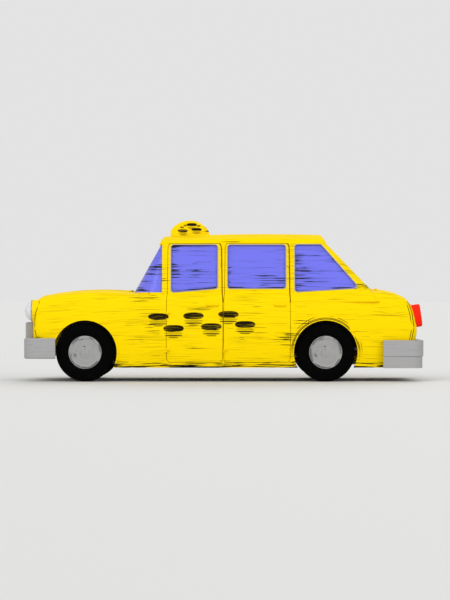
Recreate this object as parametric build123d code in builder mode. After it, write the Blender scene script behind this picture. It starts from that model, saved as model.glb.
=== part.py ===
# Six-light taxi saloon: upright cabin, wraparound windscreen, ladder chassis and a beam front axle.
# Millimetres. The nose points along -X, the road is Z = 0 and the origin is on it under the middle.

import os
from math import cos, radians, sin, sqrt

from build123d import *

os.makedirs("parts", exist_ok=True)

# Axles and wheels
front_axle_x = -1630
wheelbase = 2825
rear_axle_x = front_axle_x + wheelbase
track = 1424
tyre_radius = 345
tyre_width = 170
rim_radius = 190
running_fit = 0.05

# Lower body: a side profile crowned across the car, between two sides that bow in plan and in height
nose_x = -2245
tail_x = 2272
tail_foot_x = 2200
body_width = 1760
side_bulge_radius = 1900
widest_height = 600
plan_bow_radius = 20000
plan_bow_sweep = 8
widest_x = -100
crown_depth = 7000
crown_sweep = 9
shoulder_radius = 90
profile_foot = 100
sill_height = 165
nose_shoulder_height = 880
bonnet_front = (-2110, 1022)
bonnet_crest = (-1560, 1084)
cowl_point = (-1060, 1066)
deck_point = (1745, 1086)
tail_shoulder = (2140, 1000)
tail_bulge = (2262, 720)
tail_tuck = (2235, 480)

# Cabin: a rounded outline at the belt drawn up to a smaller one at the cant rail, under a crowned roof
belt_height = 940
cant_height = 1628
belt_front_x = -1143
belt_rear_x = 1866
belt_width = 1604
belt_front_radius = 360
belt_rear_radius = 118
cant_front_x = -752
cant_rear_x = 1200
cant_width = 1468
cant_front_radius = 80
cant_rear_radius = 60
roof_height = 1752
roof_crown_radius = 3500
roof_taper = 15
roof_edge_radius = 48

# Walls, seams and gaps
wall = 50
panel = 22
seam = 0.3
door_gap = 6
door_taper = 8
glass_thickness = 6

# Door and window openings, as they stand in the side view
door_bottom = 222
door_top = 1645
door_corner = 38
front_door = (-677, -11)
rear_door = (-5, 783)
window_bottom = 1096
window_top = 1606
window_slope = 46
window_corner = 32
front_window = (-618, -76)
rear_window = (46, 724)
quarter_window_front = 836
quarter_window_foot = 1585
quarter_window_head = 1140
fender_rear_x = -760
a_pillar_x = -727

# Wheel arches
arch_radius = 375
arch_lip_width = 20
arch_lip_stand = 12

# Road springs, chassis and floor
rail_y = 400
rail_width = 60
rail_depth = 80
floor_height = 325
floor_thickness = 20
rear_floor_height = 540

half_width = body_width / 2
wheel_y = track / 2
sides = (-1, 1)


def block(low, high):
    """A box between two opposite corners."""
    size = [b - a for a, b in zip(low, high)]
    middle = [(a + b) / 2 for a, b in zip(low, high)]
    with BuildPart() as made:
        with Locations(tuple(middle)):
            Box(*size)
    return made.part


def side_y(height, inset=0):
    """Half width of the lower body at a height, at its widest station."""
    radius = side_bulge_radius - inset
    return half_width - inset - radius + sqrt(radius**2 - (height - widest_height) ** 2)


def lower_form(inset, low=sill_height):
    """The lower body as a solid, its faces moved inward by inset and its foot at the height low."""
    with BuildPart() as form:
        with BuildSketch(Plane.XZ):
            with BuildLine():
                nose_foot = (nose_x, profile_foot)
                nose_shoulder = (nose_x, nose_shoulder_height)
                tail_foot = (tail_foot_x, profile_foot)
                Line(nose_foot, nose_shoulder)
                nose_middle = (nose_x + 45, (nose_shoulder_height + bonnet_front[1]) / 2 + 24)
                ThreePointArc(nose_shoulder, nose_middle, bonnet_front)
                ThreePointArc(bonnet_front, bonnet_crest, cowl_point)
                Line(cowl_point, deck_point)
                ThreePointArc(deck_point, (1985, 1062), tail_shoulder)
                ThreePointArc(tail_shoulder, (2225, 880), tail_bulge)
                ThreePointArc(tail_bulge, (tail_x, 600), tail_tuck)
                Line(tail_tuck, tail_foot)
                Line(tail_foot, nose_foot)
            make_face()
            if inset:
                offset(amount=-inset, kind=Kind.INTERSECTION)
        revolve(axis=Axis((0, 0, -crown_depth), (1, 0, 0)), revolution_arc=crown_sweep)
        mirror(about=Plane.XZ)
        for side in sides:
            centre = Vector(widest_x, side * (half_width - plan_bow_radius), 0)
            start = radians(plan_bow_sweep)
            outward = Vector(-sin(start), side * cos(start), 0)
            plane = Plane(
                origin=centre + outward * (plan_bow_radius - half_width),
                x_dir=outward,
                z_dir=outward.cross(Vector(0, 0, 1)),
            )
            high = 2 * widest_height
            with BuildSketch(plane):
                with BuildLine():
                    foot = (side_y(low, inset), low)
                    head = (side_y(high, inset), high)
                    ThreePointArc(foot, (half_width - inset, widest_height), head)
                    Polyline(head, (-half_width, high), (-half_width, low), foot)
                make_face()
            revolve(
                axis=Axis(centre, (0, 0, -side)),
                revolution_arc=2 * plan_bow_sweep,
                mode=Mode.INTERSECT,
            )
        rim = form.edges().filter_by(
            lambda edge: abs(edge.center().Y) > half_width / 2
            and edge.center().Z > low + panel
        )
        fillet(rim, max(shoulder_radius - inset, wall))
    return form.part


def cabin_outline(front_x, rear_x, width, front_radius, rear_radius, inset):
    """Plan outline of the cabin at one height, added to the sketch that is open."""
    with Locations(((front_x + rear_x) / 2, 0)):
        Rectangle(rear_x - front_x - 2 * inset, width - 2 * inset)
    corners = vertices().sort_by(Axis.X)
    fillet(corners[2:], rear_radius - min(inset, rear_radius / 2))
    fillet(vertices().sort_by(Axis.X)[:2], front_radius - min(inset, front_radius / 2))


def roof_crown(inset):
    """Everything under the crowned roof skin, moved down by inset."""
    top = roof_height - inset
    front_x = belt_front_x - wall
    rear_x = belt_rear_x + wall
    with BuildPart() as crown:
        with BuildSketch(Plane.XZ):
            with BuildLine():
                Line((front_x, 0), (front_x, top - 60))
                ThreePointArc((front_x, top - 60), (450, top), (rear_x, top - 44))
                Polyline((rear_x, top - 44), (rear_x, 0), (front_x, 0))
            make_face()
        axis = Axis((0, 0, roof_height - roof_crown_radius), (1, 0, 0))
        revolve(axis=axis, revolution_arc=20)
        mirror(about=Plane.XZ)
    return crown.part


def cabin_form(inset):
    """The cabin above the belt as a solid, its faces moved inward by inset."""
    with BuildPart() as form:
        with BuildSketch(Plane.XY.offset(belt_height)) as belt:
            cabin_outline(
                belt_front_x, belt_rear_x, belt_width, belt_front_radius, belt_rear_radius, inset
            )
        with BuildSketch(Plane.XY.offset(cant_height)) as cant:
            cabin_outline(
                cant_front_x, cant_rear_x, cant_width, cant_front_radius, cant_rear_radius, inset
            )
        loft(ruled=True)
        extrude(cant.sketch, amount=roof_height - cant_height, taper=roof_taper)
        add(roof_crown(inset), mode=Mode.INTERSECT)
        if not inset:
            roof_rim = form.edges().filter_by(
                lambda edge: edge.bounding_box().min.Z > cant_height + 20
            )
            fillet(roof_rim, roof_edge_radius)
    return form.part


skin_lower = lower_form(0)
skin_cabin = cabin_form(0)
room_lower = lower_form(wall, profile_foot)
room_cabin = cabin_form(wall)
room_panel = lower_form(panel, profile_foot)

# Thick shell of the cabin, from which doors, pillars, sides and roof are cut
with BuildPart() as cabin_shell:
    add(skin_cabin)
    add(skin_lower)
    add(room_lower, mode=Mode.SUBTRACT)
    add(room_cabin, mode=Mode.SUBTRACT)

# Thin shell of the lower body, from which bonnet, wings, nose, boot lid and valance are cut
with BuildPart() as thin_shell:
    add(skin_lower)
    add(room_panel, mode=Mode.SUBTRACT)


def both_sides(piece):
    """A piece of the left side and its mirror image on the right."""
    with BuildPart() as pair:
        add(piece)
        mirror(about=Plane.XZ)
    return pair.part


def side_wedge(span, foot, head, grow=0):
    """The wedge that a door on the left side fills, widest outside, its outline grown by grow."""
    with BuildPart() as wedge:
        with BuildSketch(Plane.XZ.offset(door_plane_y)):
            with Locations(((span[0] + span[1]) / 2, (foot + head) / 2)):
                RectangleRounded(
                    span[1] - span[0] + 2 * grow, head - foot + 2 * grow, door_corner + grow
                )
        extrude(amount=-door_plane_y / 2, taper=door_taper)
    return wedge.part


def window_prism(corners, radius, grow=0):
    """A window opening through the left side, from the corners of its outline in the side view."""
    with BuildPart() as prism:
        with BuildSketch(Plane.XZ.offset(door_plane_y)):
            with BuildLine():
                Polyline(*corners, close=True)
            make_face()
            fillet(vertices(), radius)
            if grow:
                offset(amount=grow)
        extrude(amount=-door_plane_y / 2)
    return prism.part


def side_plate(corners, y_low, y_high):
    """An outline in the side view (x, z) made solid between two distances across the car."""
    with BuildPart() as plate:
        with BuildSketch(Plane.XZ.offset(-y_low)):
            with BuildLine():
                Polyline(*corners, close=True)
            make_face()
        extrude(amount=y_low - y_high)
    return plate.part


def plan_plate(corners, z_low, z_high):
    """An outline in plan (x, y) made solid between two heights."""
    with BuildPart() as plate:
        with BuildSketch(Plane.XY.offset(z_low)):
            with BuildLine():
                Polyline(*corners, close=True)
            make_face()
        extrude(amount=z_high - z_low)
    return plate.part


def rod(start, end, radius):
    """A round bar between two points."""
    reach = Vector(*end) - Vector(*start)
    with BuildPart() as bar:
        with BuildSketch(Plane(origin=start, z_dir=reach)):
            Circle(radius)
        extrude(amount=reach.length)
    return bar.part


def save(part, name):
    """Writes one node as its own file."""
    part.label = name
    export_step(part, f"parts/{name}.step")


far = 3000
door_plane_y = half_width + 20
deck_half = 566
bonnet_front_x = -2186
bonnet_rear_x = -1110
bonnet_front_half = 500
bonnet_rear_half = 585
boot_front_x = 1797
boot_foot = 632

front_frame = [
    (front_window[0], window_bottom - window_slope),
    (front_window[1], window_bottom),
    (front_window[1], window_top),
    (front_window[0], window_top),
]
rear_frame = [
    (rear_window[0], window_bottom),
    (rear_window[1], window_bottom),
    (rear_window[1], window_top),
    (rear_window[0], window_top),
]
quarter_frame = [
    (quarter_window_front, window_bottom - window_slope + 6),
    (quarter_window_foot, window_bottom + 6),
    (quarter_window_head, window_top + 4),
    (quarter_window_front, window_top + 4),
]

# Doors: as thick as the side, each with its window frame and the upper halves of two lift-off hinges
moving_gap = 5
hinge_heights = (345, 775)
hinge_half = 20
hinge_barrel = 7
hinge_pin = 4
hinge_leaf = 30
hinge_inset = 7
pin_reach = 20
pin_end_gap = 3
hinge_lift = hinge_half + moving_gap
front_hinge = (front_door[0] + hinge_inset, -half_width)
rear_hinge = (rear_door[0] + hinge_inset, -half_width - 6)
front_hinge_foot = (-30, -14, 40)
rear_hinge_foot = (-12, -7, 86)


def door_hinges(hinge):
    """The upper hinge halves, which move with the door."""
    x, y = hinge
    with BuildPart() as halves:
        for height in hinge_heights:
            low = height + hinge_lift
            bore_top = height + hinge_half + pin_reach + pin_end_gap
            add(rod((x, y, low), (x, y, low + hinge_lift), hinge_barrel))
            add(block((x, y - hinge_pin, low), (x + hinge_leaf, y + 36, low + hinge_lift)))
            add(rod((x, y, low - 1), (x, y, bore_top), hinge_pin + running_fit), mode=Mode.SUBTRACT)
    return halves.part


def post_hinges(hinge, foot):
    """The lower hinge halves with their pins; foot says where they root in the pillar, from the pin."""
    x, y = hinge
    with BuildPart() as halves:
        for height in hinge_heights:
            top = height + hinge_half
            add(rod((x, y, height), (x, y, top), hinge_barrel))
            add(rod((x, y, height), (x, y, top + pin_reach), hinge_pin))
            add(block((x + foot[0], y - hinge_pin, height), (x, y + hinge_pin, top)))
            add(block((x + foot[0], y - hinge_pin, height), (x + foot[1], y + foot[2], top)))
    return halves.part


doorways = []
for name, span, frame, hinge in (
    ("front", front_door, front_frame, front_hinge),
    ("rear", rear_door, rear_frame, rear_hinge),
):
    opening = side_wedge(span, door_bottom, door_top, door_gap)
    doorways.append(opening)
    with BuildPart() as door:
        add(cabin_shell.part)
        add(side_wedge(span, door_bottom, door_top), mode=Mode.INTERSECT)
        add(window_prism(frame, window_corner), mode=Mode.SUBTRACT)
        add(door_hinges(hinge))
    save(door.part, f"{name}_left_door")
    save(mirror(door.part, about=Plane.XZ), f"{name}_right_door")

# Above the belt the free edge of a door swings back as it opens, so the opening is wider there
swing_relief = 8
relief_foot = belt_height - 10
for index, span in enumerate((front_door, rear_door)):
    with BuildPart() as opening:
        add(doorways[index])
        with BuildPart(mode=Mode.PRIVATE) as relief:
            swung = Location((swing_relief, 0, 0))
            add(side_wedge(span, door_bottom, door_top, door_gap).moved(swung))
            add(block((-far, -far, relief_foot), (far, far, far)), mode=Mode.INTERSECT)
        add(relief.part)
    doorways[index] = opening.part

# Body sides: pillars, sill and rear quarter, with a post behind the gap between the doors
cowl_foot = 1000
post_front_x = -45
post_rear_x = 28
post_outline = [
    (-800, 170),
    (-786, 225),
    (-806, 400),
    (-822, 600),
    (-808, 800),
    (-786, 920),
    (-736, 990),
    (-676, 1625),
    (-662, 1700),
    (-620, 1700),
    (-690, 990),
    (-744, 920),
    (-760, 600),
    (-742, 170),
]
proud_form = lower_form(-arch_lip_stand, sill_height - 1)


def arch_lip(axle_x):
    """The raised band round a wheel arch on the left side."""
    with BuildPart() as band:
        with BuildSketch(Plane.XZ.offset(half_width + 50)):
            with Locations((axle_x, tyre_radius)):
                Circle(arch_radius + arch_lip_width)
                Circle(arch_radius, mode=Mode.SUBTRACT)
        extrude(amount=-140)
        add(block((-far, -far, sill_height), (far, 0, far)), mode=Mode.INTERSECT)
        add(proud_form, mode=Mode.INTERSECT)
    return band.part


seat_form = cabin_form(-seam)
skin_fit = lower_form(-seam)
room_fit = lower_form(wall + seam, profile_foot)
room_cabin_fit = cabin_form(wall + seam)

with BuildPart() as side_zone:
    add(block((a_pillar_x, -far, 0), (far, -deck_half, cant_height - seam)))
    add(block((fender_rear_x, -far, 0), (a_pillar_x, -deck_half, cowl_foot - seam)))

# The lower body's shoulder between the front wing and the windscreen pillar, outside the cowl
with BuildPart() as pillar_shoulder:
    add(skin_lower)
    add(block((fender_rear_x, -far, belt_height), (a_pillar_x, -deck_half, far)), mode=Mode.INTERSECT)
    add(room_lower, mode=Mode.SUBTRACT)
    add(seat_form, mode=Mode.SUBTRACT)

with BuildPart() as post:
    with BuildSketch(Plane.YZ.offset(post_front_x)):
        with BuildLine():
            Polyline(*post_outline, close=True)
        make_face()
    extrude(amount=post_rear_x - post_front_x)
    with BuildPart(mode=Mode.PRIVATE) as room:
        add(room_fit)
        add(room_cabin_fit)
    add(room.part, mode=Mode.INTERSECT)

with BuildPart() as body_side:
    add(cabin_shell.part)
    add(side_zone.part, mode=Mode.INTERSECT)
    for doorway in doorways:
        add(doorway, mode=Mode.SUBTRACT)
    add(window_prism(quarter_frame, window_corner), mode=Mode.SUBTRACT)
    add(rod((rear_axle_x, -far, tyre_radius), (rear_axle_x, -deck_half, tyre_radius), arch_radius),
        mode=Mode.SUBTRACT)
with BuildPart() as rib:
    add(block(
        (front_door[1] - 9, 30 - half_width, sill_height + 15),
        (rear_door[0] + 11, 110 - half_width, belt_height + 40),
    ))
    for doorway in doorways:
        add(doorway, mode=Mode.SUBTRACT)
with BuildPart() as body_side_full:
    add(body_side.part)
    add(pillar_shoulder.part)
    add(post.part)
    add(rib.part)
    add(post_hinges(front_hinge, front_hinge_foot))
    add(post_hinges(rear_hinge, rear_hinge_foot))
    add(arch_lip(rear_axle_x))
save(both_sides(body_side_full.part), "body_sides")

# Roof, which also frames the top of the windscreen
screen_top = window_top + 6
with BuildPart() as roof:
    add(cabin_shell.part)
    with BuildPart(mode=Mode.PRIVATE) as roof_zone:
        add(block((-far, -far, cant_height), (far, far, far)))
        add(block((-far, -far, screen_top), (a_pillar_x - seam, far, far)))
    add(roof_zone.part, mode=Mode.INTERSECT)
save(roof.part, "roof")

# Lift-off hinges of the bonnet and the boot lid, on one line across the car
lid_gap = 6
lid_hinge_y = 430
bonnet_hinge = (bonnet_rear_x + lid_gap / 2, cowl_point[1] + 6)
boot_hinge = (boot_front_x + lid_gap / 2, deck_point[1] + 6)


def lid_hinges(x, z, toward, moving):
    """The halves on the lid (moving) or on the body, reaching the way toward points along X."""
    near = -lid_hinge_y + moving_gap if moving else -lid_hinge_y - hinge_half
    leaf_x = sorted((x, x + toward * hinge_leaf))
    with BuildPart() as halves:
        add(rod((x, near, z), (x, near + hinge_half, z), hinge_barrel))
        add(block((leaf_x[0], near, z - hinge_leaf), (leaf_x[1], near + hinge_half, z)))
        if moving:
            add(rod((x, near - 2, z), (x, near + hinge_half + 2, z), hinge_pin + running_fit),
                mode=Mode.SUBTRACT)
        else:
            add(rod((x, near, z), (x, pin_reach - lid_hinge_y, z), hinge_pin))
        mirror(about=Plane.XZ)
    return halves.part


# Cowl under the windscreen, with the lower frame of the glass
cowl_top = 1048
lid_cut_foot = 900
plenum_depth = 150
with BuildPart() as cowl:
    add(skin_cabin)
    add(room_cabin, mode=Mode.SUBTRACT)
    add(block((-far, -far, cowl_foot), (a_pillar_x - seam, far, cowl_top)), mode=Mode.INTERSECT)
    with BuildPart(mode=Mode.PRIVATE) as plenum:
        plenum_half = bonnet_rear_half + lid_gap - 1
        add(thin_shell.part)
        add(block(
            (bonnet_rear_x + lid_gap, -plenum_half, lid_cut_foot),
            (bonnet_rear_x + plenum_depth, plenum_half, far),
        ), mode=Mode.INTERSECT)
        add(room_cabin, mode=Mode.SUBTRACT)
    add(plenum.part)
    add(lid_hinges(*bonnet_hinge, 1, False))
save(cowl.part, "cowl")

# Bonnet, wings and nose
bonnet_plan = [
    (bonnet_front_x, -bonnet_front_half),
    (bonnet_rear_x, -bonnet_rear_half),
    (bonnet_rear_x, bonnet_rear_half),
    (bonnet_front_x, bonnet_front_half),
]
with BuildPart() as bonnet:
    add(thin_shell.part)
    add(plan_plate(bonnet_plan, lid_cut_foot, far), mode=Mode.INTERSECT)
    add(lid_hinges(*bonnet_hinge, -1, True))
save(bonnet.part, "bonnet")

lamp_y = -635
lamp_z = 828
lamp_pod = 134
lamp_bore = 126
lamp_front_x = nose_x - 10
pod_rear_x = nose_x + 145
pod_floor = 10
wing_foot = 330
wing_inner_y = 450
wing_plan = [
    (-far, -bonnet_front_half - seam / 2),
    (bonnet_front_x, -bonnet_front_half - seam / 2),
    (bonnet_front_x, -bonnet_front_half - lid_gap),
    (bonnet_rear_x + lid_gap, -bonnet_rear_half - lid_gap),
    (fender_rear_x - seam, -bonnet_rear_half - lid_gap),
    (fender_rear_x - seam, -far),
    (-far, -far),
]
with BuildPart() as wing:
    add(thin_shell.part)
    add(plan_plate(wing_plan, 0, far), mode=Mode.INTERSECT)
    add(rod((lamp_front_x, lamp_y, lamp_z), (pod_rear_x, lamp_y, lamp_z), lamp_pod))
    add(rod((lamp_front_x, lamp_y, lamp_z), (pod_rear_x - pod_floor, lamp_y, lamp_z), lamp_bore + seam),
        mode=Mode.SUBTRACT)
    add(rod((front_axle_x, -far, tyre_radius), (front_axle_x, -wing_inner_y, tyre_radius), arch_radius),
        mode=Mode.SUBTRACT)
    add(seat_form, mode=Mode.SUBTRACT)
    add(arch_lip(front_axle_x))
    add(block((-far, -far, 0), (front_axle_x, far, wing_foot)), mode=Mode.SUBTRACT)
save(both_sides(wing.part), "front_wings")

# Nose panel round the grille, let out where the chassis rails pass through it
nose_foot = 300
grille_low = 520
grille_high = 840
grille_half = 430
front_rail_foot = 330
rail_clear = 6
slot_half = rail_width / 2 + rail_clear
with BuildPart() as nose:
    nose_half = bonnet_front_half - seam / 2
    add(thin_shell.part)
    add(block((-far, -nose_half, nose_foot), (bonnet_front_x - lid_gap, nose_half, far)),
        mode=Mode.INTERSECT)
    add(block((-far, -grille_half, grille_low), (0, grille_half, grille_high)), mode=Mode.SUBTRACT)
    for side in sides:
        add(block(
            (-far, side * rail_y - slot_half, front_rail_foot - rail_clear),
            (0, side * rail_y + slot_half, front_rail_foot + rail_depth + rail_clear),
        ), mode=Mode.SUBTRACT)
save(nose.part, "nose_panel")

# Grille: a frame with level bars, stiffened by two uprights behind them
grille_front_x = nose_x - 11
grille_rear_x = nose_x + 29
grille_frame = 24
grille_bars = 7
grille_bar = (24, 12)
upright_y = 140
upright_half = 8
bar_pitch = (grille_high - grille_low - 2 * grille_frame - 20) / grille_bars
with BuildPart() as grille:
    frame_half = grille_half - seam
    add(block(
        (grille_front_x, -frame_half, grille_low + seam),
        (grille_rear_x, frame_half, grille_high - seam),
    ))
    add(block(
        (-far, grille_frame - grille_half, grille_low + grille_frame),
        (0, grille_half - grille_frame, grille_high - grille_frame),
    ), mode=Mode.SUBTRACT)
    for level in range(grille_bars):
        height = (grille_low + grille_high) / 2 + (level - (grille_bars - 1) / 2) * bar_pitch
        with Locations((grille_front_x + 6 + grille_bar[0] / 2, 0, height)):
            Box(grille_bar[0], 2 * (grille_half - grille_frame + 4), grille_bar[1])
    for side in sides:
        add(block(
            (grille_front_x + 16, side * upright_y - upright_half, grille_low + grille_frame - 4),
            (grille_rear_x - 6, side * upright_y + upright_half, grille_high - grille_frame + 4),
        ))
save(grille.part, "grille")

# Headlamps: a bowl with a rim in each wing's pod, closed by a domed lens
lens_seat = 119
lens_fit = 0.5
lens_dome = 126.4
lamp_rim_x = lamp_front_x - 13
with BuildPart() as lamp_case:
    with BuildSketch(Plane.XY):
        with BuildLine():
            Polyline(
                (pod_rear_x - pod_floor - 2, 0), (pod_rear_x - pod_floor - 2, lamp_bore),
                (lamp_front_x - seam, lamp_bore), (lamp_front_x - seam, lamp_pod + 1),
                (lamp_rim_x, lamp_pod - 2), (lamp_rim_x, lens_seat), (lamp_front_x - 1, lens_seat),
                (pod_rear_x - pod_floor - 10, 60), (pod_rear_x - pod_floor - 10, 0), close=True,
            )
        make_face()
    revolve(axis=Axis.X)
lamp_place = Location((0, lamp_y, lamp_z))
save(both_sides(lamp_case.part.moved(lamp_place)), "headlamp_cases")
with BuildPart() as lens:
    with Locations((lamp_rim_x + 3 + sqrt(lens_dome**2 - (lens_seat - lens_fit) ** 2), 0, 0)):
        Sphere(lens_dome)
    add(block((-far, -far, -far), (lamp_rim_x + 3, far, far)), mode=Mode.INTERSECT)
    add(rod((lamp_rim_x + 2, 0, 0), (lamp_front_x - 2, 0, 0), lens_seat - lens_fit))
save(both_sides(lens.part.moved(lamp_place)), "headlamp_lenses")

tail_centre = (2325, -642, 782)
tail_lean = radians(8)
tail_lamp_radii = (60, 134)
tail_lamp_roll = 20
with BuildPart() as tail_lamp:
    lamp_plane = Plane(origin=tail_centre, x_dir=(0, 1, 0), z_dir=(cos(tail_lean), 0, sin(tail_lean)))
    with BuildSketch(lamp_plane):
        Ellipse(*tail_lamp_radii)
    extrude(amount=-150)
    tail_rim = tail_lamp.edges().filter_by(lambda edge: edge.center().X > tail_centre[0] - 5)
    fillet(tail_rim, tail_lamp_roll)
    add(skin_fit, mode=Mode.SUBTRACT)
save(both_sides(tail_lamp.part), "tail_lamps")

# Boot lid, rear window frame, deck and valance
with BuildPart() as boot_lid:
    lid_half = deck_half - lid_gap
    add(thin_shell.part)
    add(block((boot_front_x + lid_gap, -lid_half, boot_foot + lid_gap + 2), (far, lid_half, far)),
        mode=Mode.INTERSECT)
    add(lid_hinges(*boot_hinge, 1, True))
save(boot_lid.part, "boot_lid")

rear_window_size = (1040, 450)
rear_window_height = 1365
rear_window_corner = 60
deck_front_x = 1640
rear_panel_front_x = 900
rear_rail_foot = 400
panel_half = deck_half - seam


def rear_window_prism(shrink):
    """The rear window's opening along the car, its outline drawn in by shrink."""
    with BuildPart() as prism:
        with BuildSketch(Plane.YZ.offset(rear_panel_front_x)):
            with Locations((0, rear_window_height)):
                RectangleRounded(
                    rear_window_size[0] - 2 * shrink, rear_window_size[1] - 2 * shrink,
                    rear_window_corner,
                )
        extrude(amount=far)
    return prism.part


with BuildPart() as deck:
    add(block((deck_front_x, -panel_half, cowl_foot), (boot_front_x, panel_half, far)))
    add(skin_lower, mode=Mode.INTERSECT)
    add(room_panel, mode=Mode.SUBTRACT)
    add(room_cabin, mode=Mode.SUBTRACT)
with BuildPart() as rear_panel:
    add(skin_cabin)
    add(block(
        (rear_panel_front_x, -panel_half, cowl_foot),
        (belt_rear_x + panel, panel_half, cant_height - seam),
    ), mode=Mode.INTERSECT)
    add(room_cabin, mode=Mode.SUBTRACT)
    add(rear_window_prism(0), mode=Mode.SUBTRACT)
    add(deck.part)
    add(lid_hinges(*boot_hinge, -1, False))
with BuildPart() as valance:
    add(thin_shell.part)
    add(block((deck_point[0], -panel_half, 0), (far, panel_half, boot_foot + 2)), mode=Mode.INTERSECT)
    for side in sides:
        add(block(
            (0, side * rail_y - slot_half, rear_rail_foot - rail_clear),
            (far, side * rail_y + slot_half, rear_rail_foot + rail_depth + rail_clear),
        ), mode=Mode.SUBTRACT)
with BuildPart() as rear_panels:
    add(rear_panel.part)
    add(valance.part)
save(rear_panels.part, "rear_panels")

# Glass
with BuildPart() as glass_skin:
    add(cabin_form(panel))
    add(cabin_form(panel + glass_thickness), mode=Mode.SUBTRACT)


def pane(opening):
    """The glass that fills an opening."""
    with BuildPart() as made:
        add(glass_skin.part)
        add(opening, mode=Mode.INTERSECT)
    return made.part


for name, frame in (("front", front_frame), ("rear", rear_frame)):
    glass = pane(window_prism(frame, window_corner, -seam))
    save(glass, f"{name}_left_window")
    save(mirror(glass, about=Plane.XZ), f"{name}_right_window")
with BuildPart() as cowl_crown:
    add(block((belt_front_x - 7, -700, cowl_foot), (a_pillar_x + 27, 700, cowl_top + 52)))
    add(skin_fit, mode=Mode.INTERSECT)
with BuildPart() as windscreen:
    add(pane(block((-far, -far, cowl_top + seam), (a_pillar_x - 2 * seam, far, screen_top - seam))))
    add(cowl_crown.part, mode=Mode.SUBTRACT)
with BuildPart() as fixed_windows:
    add(windscreen.part)
    add(pane(rear_window_prism(seam)))
    add(both_sides(pane(window_prism(quarter_frame, window_corner, -seam))))
save(fixed_windows.part, "fixed_windows")

# Roof sign: a loaf with a rounded top, flat at both sides and cut to the roof's crown
sign_front_x = -640
sign_rear_x = -185
sign_foot_x = -150
sign_heights = (1680, 1790, 1913)
sign_half = 160
sign_roll = 24
with BuildPart() as roof_sign:
    foot, shoulder, top = sign_heights
    with BuildSketch(Plane.XZ.offset(-sign_half)):
        with BuildLine():
            Line((sign_front_x, foot), (sign_front_x, shoulder))
            sign_crest = ((sign_front_x + sign_rear_x) / 2, top)
            ThreePointArc((sign_front_x, shoulder), sign_crest, (sign_rear_x, shoulder))
            Polyline((sign_rear_x, shoulder), (sign_foot_x, foot), (sign_front_x, foot))
        make_face()
    extrude(amount=2 * sign_half)
    fillet(roof_sign.edges().filter_by(GeomType.CIRCLE), sign_roll)
    add(seat_form, mode=Mode.SUBTRACT)
save(roof_sign.part, "roof_sign")

# Bumpers: bars whose ends sweep back along the sides; the front one carries two overriders
bumper_reach = 2350
bumper_thick = 64
bumper_corner = 170
bumper_roll = 18
front_bumper_rear_x = -1975
front_bumper_half = 885
front_bumper_heights = (270, 510)
overrider_y = 478
overrider_half = 38
overrider_heights = (262, 698)
overrider_roll = 22
rear_bumper_front_x = 1869
rear_bumper_half = 850
rear_bumper_heights = (300, 486)
apron_heights = (160, 310)
apron_inset = 12
apron_thick = 24


def bumper_blade(x_end, x_back, half, corner, thick, heights):
    """A bar across the car with both ends swept back along the sides."""
    way = -1 if x_end < x_back else 1
    with BuildPart() as blade:
        for inward, mode in ((0, Mode.ADD), (thick, Mode.SUBTRACT)):
            with BuildSketch(Plane.XY.offset(heights[0])):
                with Locations(((x_end + x_back) / 2 - way * inward, 0)):
                    Rectangle(abs(x_back - x_end), 2 * (half - inward))
                ends = vertices().sort_by(Axis.X)
                fillet(ends[:2] if way < 0 else ends[2:], corner - inward)
            extrude(amount=heights[1] - heights[0], mode=mode)
    return blade.part


with BuildPart() as front_bumper:
    add(bumper_blade(
        -bumper_reach, front_bumper_rear_x, front_bumper_half, bumper_corner, bumper_thick,
        front_bumper_heights,
    ))
    long_edges = front_bumper.edges().filter_by(
        lambda edge: edge.bounding_box().size.Z < 1
        and (abs(edge.center().Y) > front_bumper_half - 15 or edge.center().X < 60 - bumper_reach)
    )
    fillet(long_edges, bumper_roll)
    for side in sides:
        middle = side * overrider_y
        with BuildPart(mode=Mode.PRIVATE) as overrider:
            add(block(
                (-bumper_reach, middle - overrider_half, overrider_heights[0]),
                (nose_x - 6, middle + overrider_half, overrider_heights[1]),
            ))
            fillet(overrider.edges(), overrider_roll)
        add(overrider.part)
save(front_bumper.part, "front_bumper")
with BuildPart() as rear_bumper:
    add(bumper_blade(
        bumper_reach, rear_bumper_front_x, rear_bumper_half, bumper_corner, bumper_thick,
        rear_bumper_heights,
    ))
    add(bumper_blade(
        bumper_reach - apron_inset, rear_bumper_front_x, rear_bumper_half - 8,
        bumper_corner - 10, apron_thick, apron_heights,
    ))
save(rear_bumper.part, "rear_bumper")

# Chassis: two box rails that drop between the axles, with crossmembers butted between them
rail_end = bumper_reach - bumper_thick - seam
low_rail_foot = floor_height - rail_depth
rear_floor_foot = rear_floor_height - floor_thickness
high_rail_foot = rear_floor_foot - rail_depth
rail_course = [  # x, height of the underside, what the rail gives up to the floor above it
    (-rail_end, front_rail_foot, 0), (-1980, front_rail_foot, 0), (-1900, 430, 0), (-1380, 430, 0),
    (-1250, low_rail_foot, seam), (800, low_rail_foot, seam),
    (930, high_rail_foot, seam), (1540, high_rail_foot, seam),
    (1640, rear_rail_foot, 0), (rail_end, rear_rail_foot, 0),
]
rail_under = [(x, foot) for x, foot, _ in rail_course]
rail_over = [(x, foot + rail_depth - given) for x, foot, given in reversed(rail_course)]
rail_inner = rail_y - rail_width / 2
rail_outer = rail_y + rail_width / 2
with BuildPart() as rails:
    add(side_plate(rail_under + rail_over, rail_inner, rail_outer))
    mirror(about=Plane.XZ)
save(rails.part, "chassis_rails")

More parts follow.
